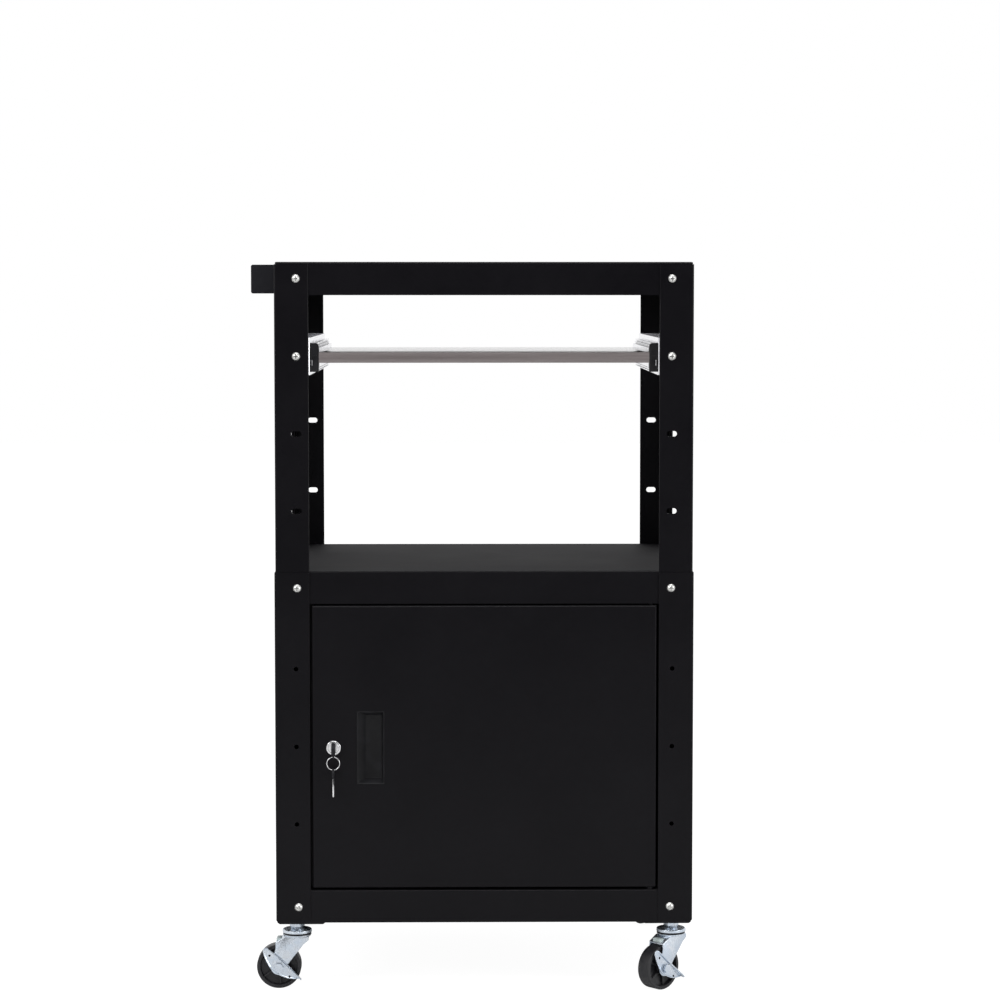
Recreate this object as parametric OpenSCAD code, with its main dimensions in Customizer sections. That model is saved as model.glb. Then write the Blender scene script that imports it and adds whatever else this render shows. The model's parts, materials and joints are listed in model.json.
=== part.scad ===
// Rolling projector cart: three flanged steel shelves on two-piece corner posts,
// a lockable cabinet below, a pull-out tray above and four swivel casters.
// Millimetres, +Z up, the front faces -Y, the floor is at z = 0.

/* [Cart] */
// Width over the lower posts
cart_w = 610; // [590:1:680]
// Depth over the lower posts
cart_d = 457; // [450:1:520]
// Height of the top shelf's deck above the floor
cart_h = 1067; // [1040:1:1120]
// Height of the middle shelf's deck above the floor
mid_h = 619; // [600:1:660]
// Sheet thickness of the posts
post_t = 1.5; // [1.2:0.1:2]
// Width of a lower post's leg
post_leg = 50.8; // [48:0.1:55]
// Outer bend radius of the posts
bend_r = 2.5; // [2.2:0.1:3.5]
// Rounding of the posts' free edges
edge_r = 1.1; // [0.5:0.1:1.1]
// Sheet thickness of the shelves and of the door
shelf_t = 1.2; // [0.8:0.1:1.5]
// Height of the shelves' flanges
shelf_flange = 48; // [44:1:52]
// Outer bend radius of the shelves and of the door
shelf_bend_r = 2.2; // [1.8:0.1:3]
// Width of the lip that is turned in under a flange
shelf_lip = 17; // [16:0.5:20]
// Sheet thickness of the cabinet's side and back panels
panel_t = 1.2; // [0.8:0.1:1.5]
// How far the back panel laps over the posts' edges
panel_lap = 12; // [8:0.5:14]

/* [Bolts and holes] */
// Distance of the bolt rows from the cart's sides
bolt_inset = 33; // [30:0.5:36]
// Drop of the top bolts below the top deck
top_bolt_drop = 24; // [20:0.5:28]
// Drop of the other shelf bolts below their deck
shelf_bolt_drop = 25; // [20:0.5:28]
// Thread diameter of the frame bolts
bolt_d = 6; // [5:0.5:6]
// Length of a frame bolt's shank
bolt_len = 12; // [11:0.5:16]
// Diameter of a bolt's pan head
bolt_head_d = 12; // [11:0.5:14]
// Height of a bolt's pan head
bolt_head_h = 3.6; // [3:0.1:4]
// Length of the slots in the upper posts
slot_len = 15; // [12:0.5:18]
// Width of the slots in the upper posts
slot_w = 8; // [6:0.5:9]
// Distance of the lower posts' holes from the cart's sides
low_hole_inset = 31; // [29:0.5:34]
// Diameter of the lower posts' holes
low_hole_d = 6.6; // [5:0.1:8]
// Spacing of the lower posts' holes
low_hole_pitch = 114.3; // [105:0.1:118]
// Distance from the middle shelf's bolts down to the first lower hole
low_hole_drop = 118; // [100:1:125]

/* [Door] */
// Gap between the door and the left post
door_gap_left = 3.3; // [2.5:0.1:5]
// Gap between the door and the right post
door_gap_right = 2.7; // [2:0.1:4]
// Gap above the door
door_gap_top = 2.6; // [1.5:0.1:4]
// Gap under the door
door_gap_bottom = 3.5; // [2:0.1:5]
// Depth of the door's turned edges
door_depth = 18; // [14:0.5:19]
// Distance of the door's pivot from its right edge
pivot_inset = 8.5; // [7.5:0.5:10]
// Distance of the door's pivot behind its face
pivot_setback = 8; // [7.5:0.5:8.5]
// Diameter of the pivot pins
pivot_d = 6; // [5:0.5:6]
// Distance of the lock from the door's left edge
lock_inset = 30.9; // [30:0.1:40]
// Height of the lock and of the pull cup above the door's lower edge
lock_rise = 207; // [150:1:260]
// Distance of the pull cup's middle from the door's left edge
cup_inset = 85; // [75:0.5:140]
// Width of the pull cup's rim
cup_w = 40; // [34:0.5:46]
// Height of the pull cup's rim
cup_h = 107; // [90:1:120]
// Depth of the pull cup behind the door's face
cup_depth = 15; // [10:0.5:16]

/* [Lock and keys] */
// Diameter of the lock's face
lock_face_d = 21.4; // [20:0.1:24]
// How far the lock's face stands out of the door
lock_face_h = 3; // [2:0.1:4]
// Diameter of the lock's barrel
lock_body_d = 18; // [17:0.1:19]
// Diameter of the lock's plug
plug_d = 12; // [11:0.1:13]
// Reach of the lock's cam from the plug's axis
cam_reach = 45; // [44:0.5:47]
// Width of the cam
cam_w = 14; // [13:0.5:16]
// Thickness of the cam
cam_t = 2; // [1.5:0.1:2.5]
// Diameter of the keys' bows
key_bow_d = 17; // [16:0.5:18]
// Thickness of the bow of the key in the lock
key_bow_t = 5.4; // [4:0.1:6]
// Thickness of the spare key's bow
spare_bow_t = 3.4; // [3:0.1:3.5]
// Thickness of a key's blade
key_blade_t = 2.2; // [1.6:0.1:2.4]
// Width of a key's blade
key_blade_w = 8; // [6:0.5:8.5]
// Length of a key's blade outside its bow
key_blade_len = 26; // [20:1:30]
// Outer diameter of the key ring
ring_d = 20; // [18:0.5:24]
// Wire diameter of the key ring
ring_wire_d = 1.3; // [1:0.1:1.4]

/* [Tray] */
// Distance from the cart's sides to the tray board
tray_inset = 66; // [65:0.5:80]
// Depth of the tray board
tray_d = 400; // [360:1:420]
// Thickness of the tray board
tray_t = 15; // [12:0.5:18]
// Drop of the board's and the slides' middle below the brackets' bolts
tray_drop = 1.8; // [0:0.1:3]
// Width of one telescopic slide
slide_w = 12.7; // [12.4:0.1:14]
// Height of one telescopic slide
slide_h = 42; // [40:0.5:46]
// Length of one telescopic slide
slide_len = 390; // [360:1:400]
// Sheet thickness of the slides
slide_t = 1.2; // [1:0.1:1.3]
// Height of the side brackets that carry the slides
bracket_h = 54; // [50:0.5:60]
// Sheet thickness of the side brackets
bracket_t = 1.5; // [1.2:0.1:1.8]

/* [Power strip] */
// Gap between the strip and the front post
strip_front_gap = 2.2; // [1.2:0.1:8]
// Gap between the strip and the back post
strip_back_gap = 3.2; // [2:0.1:20]
// How far the strip stands out of the shelf
strip_w = 38; // [34:0.5:46]
// Height of the strip
strip_h = 42; // [38:0.5:44]
// Drop of the strip's top below the top deck
strip_drop = 3.6; // [3:0.1:4]
// Wall of the strip's case
strip_wall = 1.2; // [1:0.1:1.5]
// Number of outlets
outlets = 4; // [2:1:4]

/* [Casters] */
// Height of the casters from the floor to their plates
caster_h = 98.5; // [96:0.5:106]
// Distance of the casters' stems from the cart's faces
caster_inset = 29; // [28:0.5:34]
// Diameter of the wheels
wheel_d = 65; // [60:0.5:68]
// Width of the wheels
wheel_w = 21; // [18:0.5:23]
// Distance of the wheels' axles from the stems
swivel_offset = 26.5; // [25:0.5:30]
// Diameter of the casters' raceway caps
cap_d = 43.2; // [41:0.1:46]
// Direction of the front left caster
turn_front_left = 0; // [0:1:360]
// Direction of the front right caster
turn_front_right = 42; // [0:1:360]
// Direction of the back left caster
turn_back_left = 308; // [0:1:360]
// Direction of the back right caster
turn_back_right = 302; // [0:1:360]
// Length of the brake levers
lever_len = 70; // [60:1:74]

/* [Hidden] */
$fn = 48;

// Overrun of every cut
over = 1;
// Radial gap of a part that turns in a hole
run_gap = 0.05;
// Gap between parts that pass each other
pass_gap = 0.3;
// Radial gap of a bolt in its hole
bolt_gap = 0.3;
// Number of sides of a hexagon
hex = 6;

// Colours as the cart shows them
powder_black = [0.075, 0.075, 0.08];
zinc = [0.72, 0.75, 0.79];
bright_zinc = [0.84, 0.84, 0.87];
moulded_black = [0.03, 0.03, 0.035];
strip_grey = [0.16, 0.16, 0.18];
wood_grey = [0.46, 0.43, 0.42];

// Heights of the frame
plate_t = 3;
frame_z = caster_h + plate_t;
base_h = frame_z + shelf_flange;
mid_flange_z = mid_h - shelf_flange;
upper_inset = 2 * post_t;
shelf_proud = 3.5;
lower_post_drop = 2.5;
post_corner_r = 3;
post_chamfer = 3.5;

// Bolt rows
top_bolt_z = cart_h - top_bolt_drop;
mid_bolt_z = mid_h - shelf_bolt_drop;
base_bolt_z = base_h - shelf_bolt_drop;
row_steps = 4;
row_pitch = (top_bolt_z - mid_bolt_z) / row_steps;
tray_z = top_bolt_z - row_pitch;
slot_rows = [top_bolt_z - 2 * row_pitch, top_bolt_z - 3 * row_pitch];
low_hole_count = 3;
low_hole_rows = [for (i = [0 : low_hole_count - 1]) mid_bolt_z - low_hole_drop - i * low_hole_pitch];
bolt_hole_d = bolt_d + 2 * bolt_gap;
nut_h = 5;
nut_d = 11.5;
recess_w = 1.3;
recess_len = 6.4;
recess_depth = 1.8;
dome_r = 7;

// Corner plates and stems
corner_plate_w = 64;
corner_plate_inset = 4.7;
plate_bevel = 2.8;
stem_d = 10;
stem_nut_h = 8;
stem_nut_d = 19.6;
stem_end = 3;

// Door
door_face_y = post_t;
door_left = -cart_w / 2 + post_leg + door_gap_left;
door_right = cart_w / 2 - post_leg - door_gap_right;
door_low = base_h + door_gap_bottom;
door_high = mid_flange_z - door_gap_top;
door_w = door_right - door_left;
door_h = door_high - door_low;
door_lip = 10;
pivot_x = door_right - pivot_inset;
pivot_y = door_face_y + pivot_setback;
pivot_head_d = 9;
pivot_head_h = 2;
pivot_reach = 10;
pivot_washer_d = 11;

// Lock
lock_x = door_left + lock_inset;
lock_z = door_low + lock_rise;
strike_w = 18.5;
strike_t = 1.5;
strike_cover = 4.7;
strike_clear = 1.1;
lock_back = door_depth + strike_clear + strike_t;
lock_nut_d = 25;
lock_nut_h = 4;
plug_proud = 0.3;
plug_tail = 6;
cam_screw_d = 4;
cam_screw_head_d = 8;
cam_screw_head_h = 2.4;
cam_screw_len = 8;
strike_back = door_face_y + lock_back;

// Pull cup
cup_x = door_left + cup_inset;
cup_rim_t = 1.2;
cup_lap = 1.1;
cup_wall = 1.2;
cup_pocket_x_share = [[-0.46, 0], [-0.195, 1], [0.395, 1], [0.455, 0]];
cup_pocket_z_share = [[-0.486, 0], [-0.432, 1], [0.432, 1], [0.486, 0]];
cup_floor_x_share = [-0.2325, 0.4325];
cup_floor_z_share = [-0.449, 0.449];

// Keys
bow_gap = 1;
blade_in_lock = 16;
blade_in_bow = 6;
ring_hole_r = 1.5;
ring_hang_gap = 0.2;
tongue_r = 2.8;
tongue_t = 2.6;
tongue_drop = 2.6;
bow_y = door_face_y - lock_face_h - plug_proud - bow_gap - key_bow_d / 2;
tongue_z = lock_z - key_bow_d / 2 - tongue_drop;
ring_r = (ring_d - ring_wire_d) / 2;
ring_sag = ring_hole_r - ring_wire_d / 2 - ring_hang_gap;
ring_top_z = tongue_z - ring_sag;
ring_z = ring_top_z - ring_r;
spare_hang_z = ring_z - ring_r;
spare_hole_z = spare_hang_z - ring_sag;
spare_bow_d = key_bow_d - 1;
spare_bow_z = spare_hole_z + ring_hole_r + ring_wire_d - spare_bow_d / 2;

// Tray and slides
tray_w = cart_w - 2 * tray_inset;
slide_x = tray_w / 2;
bracket_x = slide_x + slide_w;
tray_front_y = post_t;
slide_front_y = 15.7;
front_cap_t = 11.7;
slide_z = tray_z - tray_drop;
front_cap_r = 5.5;
front_cap_w = slide_w - 2 * pass_gap;
slide_ball_gap = 2.4;
slide_web_gap = 1.6;
slide_flange = 9;
slide_middle_flange = 7;
cage_t = 1;
ball_d = 2.2;
cage_w = 4;
ball_count = 8;
cage_margin = 20;
screw_shares = [0.15, 0.5, 0.85];
rivet_d = 4;
rivet_head_d = 8;
rivet_head_h = 1.2;
wood_screw_d = 4;
wood_screw_head_d = 7;
wood_screw_head_h = 1.8;
wood_screw_len = 14;
bracket_tab_gap = 3;

// Power strip
strip_x = -cart_w / 2 + upper_inset;
strip_setback = post_leg + strip_front_gap;
strip_len = cart_d - strip_setback - post_leg - strip_back_gap;
strip_top = cart_h - strip_drop;
strip_mid_z = strip_top - strip_h / 2;
strip_r = 3;
strip_cap_t = 2.5;
strip_plug_len = 5;
socket_l = 33;
socket_h = 30;
socket_depth = 14;
socket_r = 4;
socket_margin = 40;
switch_room = 22;
outlet_pitch = (strip_len - 2 * socket_margin - switch_room) / outlets;
blade_slot_l = 8;
blade_slot_w = 2;
blade_slot_gap = 12.7;
blade_slot_depth = 10;
earth_hole_d = 5;
earth_drop = 9;
socket_face_drop = 1.5;
switch_l = 30;
switch_h = 22;
switch_wall = 3;
rocker_l = 21;
rocker_h = switch_h - 2 * switch_wall - 2 * pass_gap;
rocker_pivot_drop = 6.5;
rocker_tilt = 10;
rocker_pin_d = 3;
rocker_pin_len = 2;
rocker_section_share = [[-0.5, 0.21], [0, 0.285], [0.5, 0.21], [0.29, -0.19], [-0.29, -0.19]];
gland_d = 16;
gland_len = 10;
gland_bore_d = 7;
gland_nut_d = 20;
gland_nut_len = 5;
strip_screw_d = 4;
strip_screw_head_d = 8;
strip_screw_head_h = 2.4;
strip_screw_len = 6;

// Casters
collar_h = 7.5;
collar_d = 22;
neck_top_d = 20;
neck_d = 18;
neck_h = 4;
cap_h = 4.3;
cap_edge_r = 1.5;
race_gap = 0.4;
kingpin_d = 10;
kingpin_head_d = 16;
kingpin_head_h = 3;
fork_head_step = 0.2;
fork_head_h = 4.8;
fork_plate_t = 2;
fork_t = 2;
fork_side_gap = 2;
axle_d = 8;
axle_boss_r = 12;
axle_head_d = 14;
axle_head_h = 3.5;
lever_t = 1.5;
lever_angle = 41.6;
lever_hole_d = 3.5;
toe_reach = 7;
toe_len_share = 0.2;
hub_d = 16;
rim_depth = 7.5;
web_t = 6;
tread_r = 3;
rib_count = 6;
rib_t = 2.5;
cap_z = collar_h + neck_h;
fork_z = cap_z + cap_h + race_gap;
fork_head_d = cap_d - 2 * fork_head_step;
bridge_z = fork_z + fork_head_h + fork_plate_t;
kingpin_z = bridge_z + pass_gap + kingpin_head_h;
axle_z = caster_h - wheel_d / 2;
fork_in = wheel_w / 2 + fork_side_gap;
fork_out = fork_in + fork_t;
leg_len = axle_z - fork_z - fork_head_h;
leg_share = [
    [0.67, 0], [0.67, 0.1], [0.37, 0.244], [-0.464, 0.893], [-0.68, 1.19],
    [-1.32, 1.19], [-1.45, 1], [-1.21, 0.478], [-1.17, 0.189], [-0.642, 0]
];
bridge_front_share = 0.67;
bridge_back_share = 0.642;
lever_share = [
    [-0.5, 0.121], [-0.486, 0.043], [-0.286, -0.071], [0, -0.136], [0.286, -0.057],
    [0.5, 0.121], [0.286, 0.143], [0, 0.171], [-0.286, 0.157]
];
lever_toe_share = [0.28, 0.143];
lever_hole_share = [[-0.31, 0.055], [0.3, 0]];

// Shift that puts the middle of the whole object at the origin
left_reach = -strip_x + strip_w;
right_reach = cart_w / 2;
function wheel_reach(turn, way) = way * swivel_offset * sin(turn) - caster_inset
    + (wheel_d / 2 - tread_r) * abs(sin(turn)) + (wheel_w / 2 - tread_r) * abs(cos(turn)) + tread_r;
key_reach = -bow_y + key_bow_d / 2;
front_reach = max(key_reach, wheel_reach(turn_front_left, 1), wheel_reach(turn_front_right, 1));
back_reach = cart_d
    + max(bolt_head_h, wheel_reach(turn_back_left, -1), wheel_reach(turn_back_right, -1));
shift = [(left_reach - right_reach) / 2, (front_reach - back_reach) / 2, 0];

// Shared shapes

module rounded_rect(w, d, r) {
    translate([r, 0]) square([w - 2 * r, d]);
    translate([0, r]) square([w, d - 2 * r]);
    for (x = [r, w - r], y = [r, d - r]) translate([x, y]) circle(r);
}

module arched_rect(w, h, r) {
    square([w, h - r]);
    translate([r, 0]) square([w - 2 * r, h]);
    for (x = [r, w - r]) translate([x, h - r]) circle(r);
}

module rounded_block(w, d, h, r) {
    intersection() {
        linear_extrude(h) rounded_rect(w, d, r);
        translate([0, d, 0]) rotate([90, 0, 0]) linear_extrude(d) arched_rect(w, h, r);
        rotate([90, 0, 90]) linear_extrude(w) arched_rect(d, h, r);
    }
}

// A sheet pan, open below, with lips turned in at its lower edge
module bent_pan(w, d, h, t, r, lip) {
    difference() {
        rounded_block(w, d, h, r);
        translate([t, t, t]) rounded_block(w - 2 * t, d - 2 * t, h - 2 * t, r - t);
        translate([lip, lip, -over]) cube([w - 2 * lip, d - 2 * lip, t + 2 * over]);
    }
}

module corner_square(a, b, r) {
    translate([r, 0]) square([a - r, b]);
    translate([0, r]) square([a, b - r]);
    translate([r, r]) circle(r);
}

module edge_cut(r) {
    difference() {
        translate([-over, -over]) square([r + over, r + over]);
        translate([r, r]) circle(r);
    }
}

// An L section whose outer corner is at the origin
module angle_section(leg) {
    difference() {
        corner_square(leg, leg, bend_r);
        translate([post_t, post_t]) corner_square(leg, leg, bend_r - post_t);
        translate([leg, 0]) mirror([1, 0]) edge_cut(edge_r);
        translate([0, leg]) mirror([0, 1]) edge_cut(edge_r);
    }
}

// A hole or slot along Y through the wall at y = 0
module wall_hole(x, z, d, len = 0) {
    for (side = [-1, 1]) {
        translate([x + side * len / 2, -over, z]) rotate([-90, 0, 0]) cylinder(d = d, h = bend_r + 2 * over);
    }
    if (len > 0) translate([x - len / 2, -over, z - d / 2]) cube([len, bend_r + 2 * over, d]);
}

// A pan-head bolt along +Y whose head sits on the plane y = 0
module pan_bolt(d, len, head_d, head_h, dome, slot_l, slot_t, slot_depth) {
    difference() {
        rotate([90, 0, 0]) rotate_extrude() {
            intersection() {
                square([head_d / 2, head_h]);
                translate([0, head_h - dome]) circle(dome);
            }
        }
        for (turn = [0, 90]) {
            rotate([0, turn, 0]) translate([-slot_l / 2, -head_h - over, -slot_t / 2])
                cube([slot_l, slot_depth + over, slot_t]);
        }
    }
    rotate([-90, 0, 0]) cylinder(d = d, h = len);
}

module frame_bolt() {
    pan_bolt(bolt_d, bolt_len, bolt_head_d, bolt_head_h, dome_r, recess_len, recess_w, recess_depth);
}

module hex_nut(d, h, bore) {
    difference() {
        cylinder(d = d, h = h, $fn = hex);
        translate([0, 0, -over]) cylinder(d = bore, h = h + 2 * over);
    }
}

module place() {
    translate(shift) children();
}

// Local frame of a cart corner: the outer corner is at the origin, the cart lies towards +X and +Y
module at_corner(side, end) {
    translate([side * cart_w / 2, end > 0 ? cart_d : 0, 0])
        mirror_if(side > 0, [1, 0, 0]) mirror_if(end > 0, [0, 1, 0]) children();
}

module mirror_if(yes, normal) {
    if (yes) mirror(normal) children();
    else children();
}

module each_corner() {
    for (side = [-1, 1], end = [-1, 1]) at_corner(side, end) children();
}

// Frame

module shelf(inset, top_z, bolt_z) {
    w = cart_w - 2 * inset;
    d = cart_d - 2 * inset;
    difference() {
        translate([-w / 2, inset, top_z - shelf_flange])
            bent_pan(w, d, shelf_flange, shelf_t, shelf_bend_r, shelf_lip);
        for (side = [-1, 1]) {
            translate([side * (cart_w / 2 - bolt_inset), -over, bolt_z])
                rotate([-90, 0, 0]) cylinder(d = bolt_hole_d, h = cart_d + 2 * over);
        }
    }
}

module top_shelf() {
    color(powder_black) place() difference() {
        shelf(upper_inset, cart_h, top_bolt_z);
        for (share = screw_shares) {
            translate([strip_x - over, strip_setback + share * strip_len, strip_mid_z])
                rotate([0, 90, 0]) cylinder(d = strip_screw_d + 2 * bolt_gap, h = shelf_t + 2 * over);
        }
    }
}

module middle_shelf() {
    color(powder_black) place() difference() {
        shelf(upper_inset, mid_h, mid_bolt_z);
        translate([pivot_x, pivot_y, mid_flange_z - over])
            cylinder(d = pivot_d + 2 * run_gap, h = shelf_t + 2 * over);
    }
}

module bottom_shelf() {
    color(powder_black) place() difference() {
        shelf(post_t, base_h, base_bolt_z);
        translate([pivot_x, pivot_y, base_h - shelf_t - over])
            cylinder(d = pivot_d + 2 * run_gap, h = shelf_t + 2 * over);
    }
}

module lower_post() {
    high = mid_h - lower_post_drop;
    difference() {
        translate([0, 0, frame_z]) linear_extrude(high - frame_z) angle_section(post_leg);
        for (z = [mid_bolt_z, base_bolt_z]) wall_hole(bolt_inset, z, bolt_hole_d);
        for (z = low_hole_rows) wall_hole(low_hole_inset, z, low_hole_d);
        translate([0, post_leg + over, frame_z]) rotate([90, 0, 0]) linear_extrude(post_leg + 2 * over)
            polygon([[-over, -over], [post_chamfer + over, -over], [-over, post_chamfer + over]]);
        translate([post_leg, post_t + over, high]) rotate([90, 0, 0]) linear_extrude(post_t + 2 * over)
            rotate(180) edge_cut(post_corner_r);
        translate([-over, post_leg, high]) rotate([90, 0, 90]) linear_extrude(post_t + 2 * over)
            rotate(180) edge_cut(post_corner_r);
    }
}

module upper_post() {
    high = cart_h - shelf_proud;
    difference() {
        translate([post_t, post_t, mid_flange_z]) linear_extrude(high - mid_flange_z)
            angle_section(post_leg - post_t);
        for (z = [top_bolt_z, tray_z, mid_bolt_z]) wall_hole(bolt_inset, z, bolt_hole_d);
        for (z = slot_rows) wall_hole(bolt_inset, z, slot_w, slot_len - slot_w);
    }
}

module lower_post_at(side, end) {
    color(powder_black) place() at_corner(side, end) lower_post();
}

module upper_post_at(side, end) {
    color(powder_black) place() at_corner(side, end) upper_post();
}

module side_panels() {
    x = cart_w / 2 - post_t;
    color(powder_black) place() for (left = [-x, x - panel_t]) {
        translate([left, bend_r, base_h]) cube([panel_t, cart_d - 2 * bend_r, mid_flange_z - base_h]);
    }
}

module back_panel() {
    w = cart_w - 2 * (post_leg - panel_lap);
    color(powder_black) place()
        translate([-w / 2, cart_d - post_t - panel_t, base_h]) cube([w, panel_t, mid_flange_z - base_h]);
}

module plate_section() {
    near = corner_plate_inset;
    far = corner_plate_inset + corner_plate_w;
    polygon([[near, 0], [far, 0], [far + plate_bevel, plate_t], [near - plate_bevel, plate_t]]);
}

module corner_plates() {
    span = corner_plate_w + 2 * (corner_plate_inset + plate_bevel);
    color(powder_black) place() translate([0, 0, caster_h]) each_corner() difference() {
        intersection() {
            translate([0, span, 0]) rotate([90, 0, 0]) linear_extrude(span) plate_section();
            rotate([90, 0, 90]) linear_extrude(span) plate_section();
        }
        translate([caster_inset, caster_inset, -over])
            cylinder(d = stem_d + 2 * run_gap, h = plate_t + 2 * over);
    }
}

module frame_bolts() {
    color(zinc) place() each_corner() {
        for (z = [top_bolt_z, tray_z]) translate([bolt_inset, post_t, z]) frame_bolt();
        for (z = [mid_bolt_z, base_bolt_z]) translate([bolt_inset, 0, z]) frame_bolt();
    }
}

module frame_nuts() {
    seats = [
        [top_bolt_z, upper_inset + shelf_t], [tray_z, upper_inset + bracket_t],
        [mid_bolt_z, upper_inset + shelf_t], [base_bolt_z, post_t + shelf_t]
    ];
    color(zinc) place() {
        each_corner() for (seat = seats) {
            translate([bolt_inset, seat[1], seat[0]]) rotate([-90, 0, 0])
                hex_nut(nut_d, nut_h, bolt_d + 2 * run_gap);
        }
        each_corner() translate([caster_inset, caster_inset, frame_z])
            hex_nut(stem_nut_d, stem_nut_h, stem_d + 2 * run_gap);
    }
}

// Tray slides and their brackets

module each_side() {
    for (side = [-1, 1]) mirror_if(side < 0, [1, 0, 0]) children();
}

module tray_brackets() {
    reach = cart_w / 2 - upper_inset - bracket_tab_gap - bracket_x;
    color(bright_zinc) place() each_side() difference() {
        translate([bracket_x, upper_inset, tray_z - bracket_h / 2]) linear_extrude(bracket_h) difference() {
            bracket_outline(reach, cart_d - 2 * upper_inset, bend_r);
            translate([bracket_t, bracket_t])
                bracket_outline(reach, cart_d - 2 * upper_inset - 2 * bracket_t, bend_r - bracket_t);
        }
        translate([cart_w / 2 - bolt_inset, 0, tray_z]) rotate([-90, 0, 0])
            cylinder(d = bolt_hole_d, h = cart_d);
        slide_fixings() cylinder(d = rivet_d + 2 * run_gap, h = bracket_t + slide_t + 2 * over);
    }
}

module bracket_outline(w, d, r) {
    translate([0, r]) square([w, d - 2 * r]);
    translate([r, 0]) square([w - r, d]);
    for (y = [r, d - r]) translate([r, y]) circle(r);
}

// The rivets that hold a slide to its bracket, seen from the slide's inside
module slide_fixings() {
    for (share = screw_shares) {
        translate([bracket_x - slide_t - over, slide_front_y + share * slide_len, slide_z])
            rotate([0, 90, 0]) children();
    }
}

// A C section with its web towards +X, its flanges towards -X
module channel_section(high, flange, t) {
    difference() {
        translate([-flange, -high / 2]) square([flange, high]);
        translate([-flange - over, -high / 2 + t]) square([flange - t + over, high - 2 * t]);
    }
}

module along_slide(len) {
    translate([0, slide_front_y + len, slide_z]) rotate([90, 0, 0]) linear_extrude(len) children();
}

module slide_outers() {
    color(zinc) place() each_side() difference() {
        along_slide(slide_len) translate([bracket_x, 0]) channel_section(slide_h, slide_flange, slide_t);
        slide_fixings() cylinder(d = rivet_d + 2 * run_gap, h = slide_t + 2 * over);
    }
}

module slide_rivets() {
    color(zinc) place() each_side() {
        slide_fixings() {
            translate([0, 0, over]) cylinder(d = rivet_d, h = slide_t + bracket_t);
            translate([0, 0, over + slide_t + bracket_t]) cylinder(d = rivet_head_d, h = rivet_head_h);
        }
    }
}

middle_x = bracket_x - slide_t - slide_web_gap;
middle_h = slide_h - 2 * (slide_t + slide_ball_gap);
inner_h = middle_h - 2 * (slide_t + slide_ball_gap);
inner_flange = slide_w - 2 * (slide_t + slide_web_gap);

module slide_middles() {
    color(zinc) place() each_side()
        along_slide(slide_len) translate([middle_x, 0])
            channel_section(middle_h, slide_middle_flange, slide_t);
}

module slide_inners() {
    color(zinc) place() each_side() difference() {
        along_slide(slide_len) translate([slide_x, 0]) mirror([1, 0])
            channel_section(inner_h, inner_flange, slide_t);
        board_fixings() cylinder(d = wood_screw_d + 2 * run_gap, h = slide_t + 2 * over);
    }
}

module ball_cage(x, z) {
    step = (slide_len - 2 * cage_margin) / (ball_count - 1);
    translate([x - cage_w / 2, slide_front_y + cage_margin / 2, slide_z + z - cage_t / 2])
        cube([cage_w, slide_len - cage_margin, cage_t]);
    for (i = [0 : ball_count - 1]) {
        translate([x, slide_front_y + cage_margin + i * step, slide_z + z]) sphere(d = ball_d);
    }
}

module slide_ball_cages() {
    outer_row = middle_h / 2 + slide_ball_gap / 2;
    inner_row = inner_h / 2 + slide_ball_gap / 2;
    color(zinc) place() each_side() for (up = [-1, 1]) {
        ball_cage(middle_x - slide_middle_flange / 2, up * outer_row);
        ball_cage(middle_x - slide_middle_flange + cage_w / 2, up * inner_row);
    }
}

module board_fixings() {
    for (share = screw_shares) {
        translate([slide_x + slide_t + over, slide_front_y + share * slide_len, slide_z])
            rotate([0, -90, 0]) children();
    }
}

module tray_board() {
    color(wood_grey) place() difference() {
        translate([-tray_w / 2, tray_front_y, slide_z - tray_t / 2]) cube([tray_w, tray_d, tray_t]);
        each_side() board_fixings() cylinder(d = wood_screw_d + 2 * run_gap, h = slide_t + wood_screw_len + over);
    }
}

module tray_screws() {
    color(zinc) place() each_side() board_fixings() {
        translate([0, 0, over]) cylinder(d = wood_screw_d, h = slide_t + wood_screw_len - over);
        translate([0, 0, over - wood_screw_head_h]) cylinder(d = wood_screw_head_d, h = wood_screw_head_h);
    }
}

module slide_front_caps() {
    high = slide_h - 2 * pass_gap;
    color(moulded_black) place() each_side()
        translate([slide_x + pass_gap, slide_front_y, slide_z - high / 2]) rotate([90, 0, 0])
            linear_extrude(front_cap_t) translate([front_cap_w, 0]) mirror([1, 0])
                end_cap_outline(front_cap_w, high, front_cap_r);
}

// A plate whose corner at the upper right is rounded
module end_cap_outline(w, h, r) {
    square([w, h - r]);
    square([w - r, h]);
    translate([w - r, h - r]) circle(r);
}

// Door

module door_skin() {
    color(powder_black) place() difference() {
        translate([door_left, door_face_y + door_depth, door_low]) rotate([90, 0, 0])
            bent_pan(door_w, door_h, door_depth, shelf_t, shelf_bend_r, door_lip);
        translate([lock_x, door_face_y - over, lock_z]) rotate([-90, 0, 0])
            cylinder(d = lock_body_d + 2 * pass_gap, h = shelf_t + 2 * over);
        translate([cup_x - cup_body_w / 2 - pass_gap, door_face_y - over, lock_z - cup_body_h / 2 - pass_gap])
            cube([cup_body_w + 2 * pass_gap, shelf_t + 2 * over, cup_body_h + 2 * pass_gap]);
        for (z = [door_low, door_high - shelf_t]) {
            translate([pivot_x, pivot_y, z - over])
                cylinder(d = pivot_d + 2 * run_gap, h = shelf_t + 2 * over);
        }
    }
}

cup_body_w = cup_w - 2 * cup_lap;
cup_body_h = cup_h - 2 * cup_lap;

// A tapered block: one outline in X and Y over the other in Z and Y
module tapered_block(plan, side, span) {
    intersection() {
        translate([0, 0, -span]) linear_extrude(2 * span) polygon(plan);
        translate([-span, 0, 0]) rotate([90, 0, 90]) linear_extrude(2 * span) polygon(side);
    }
}

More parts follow.
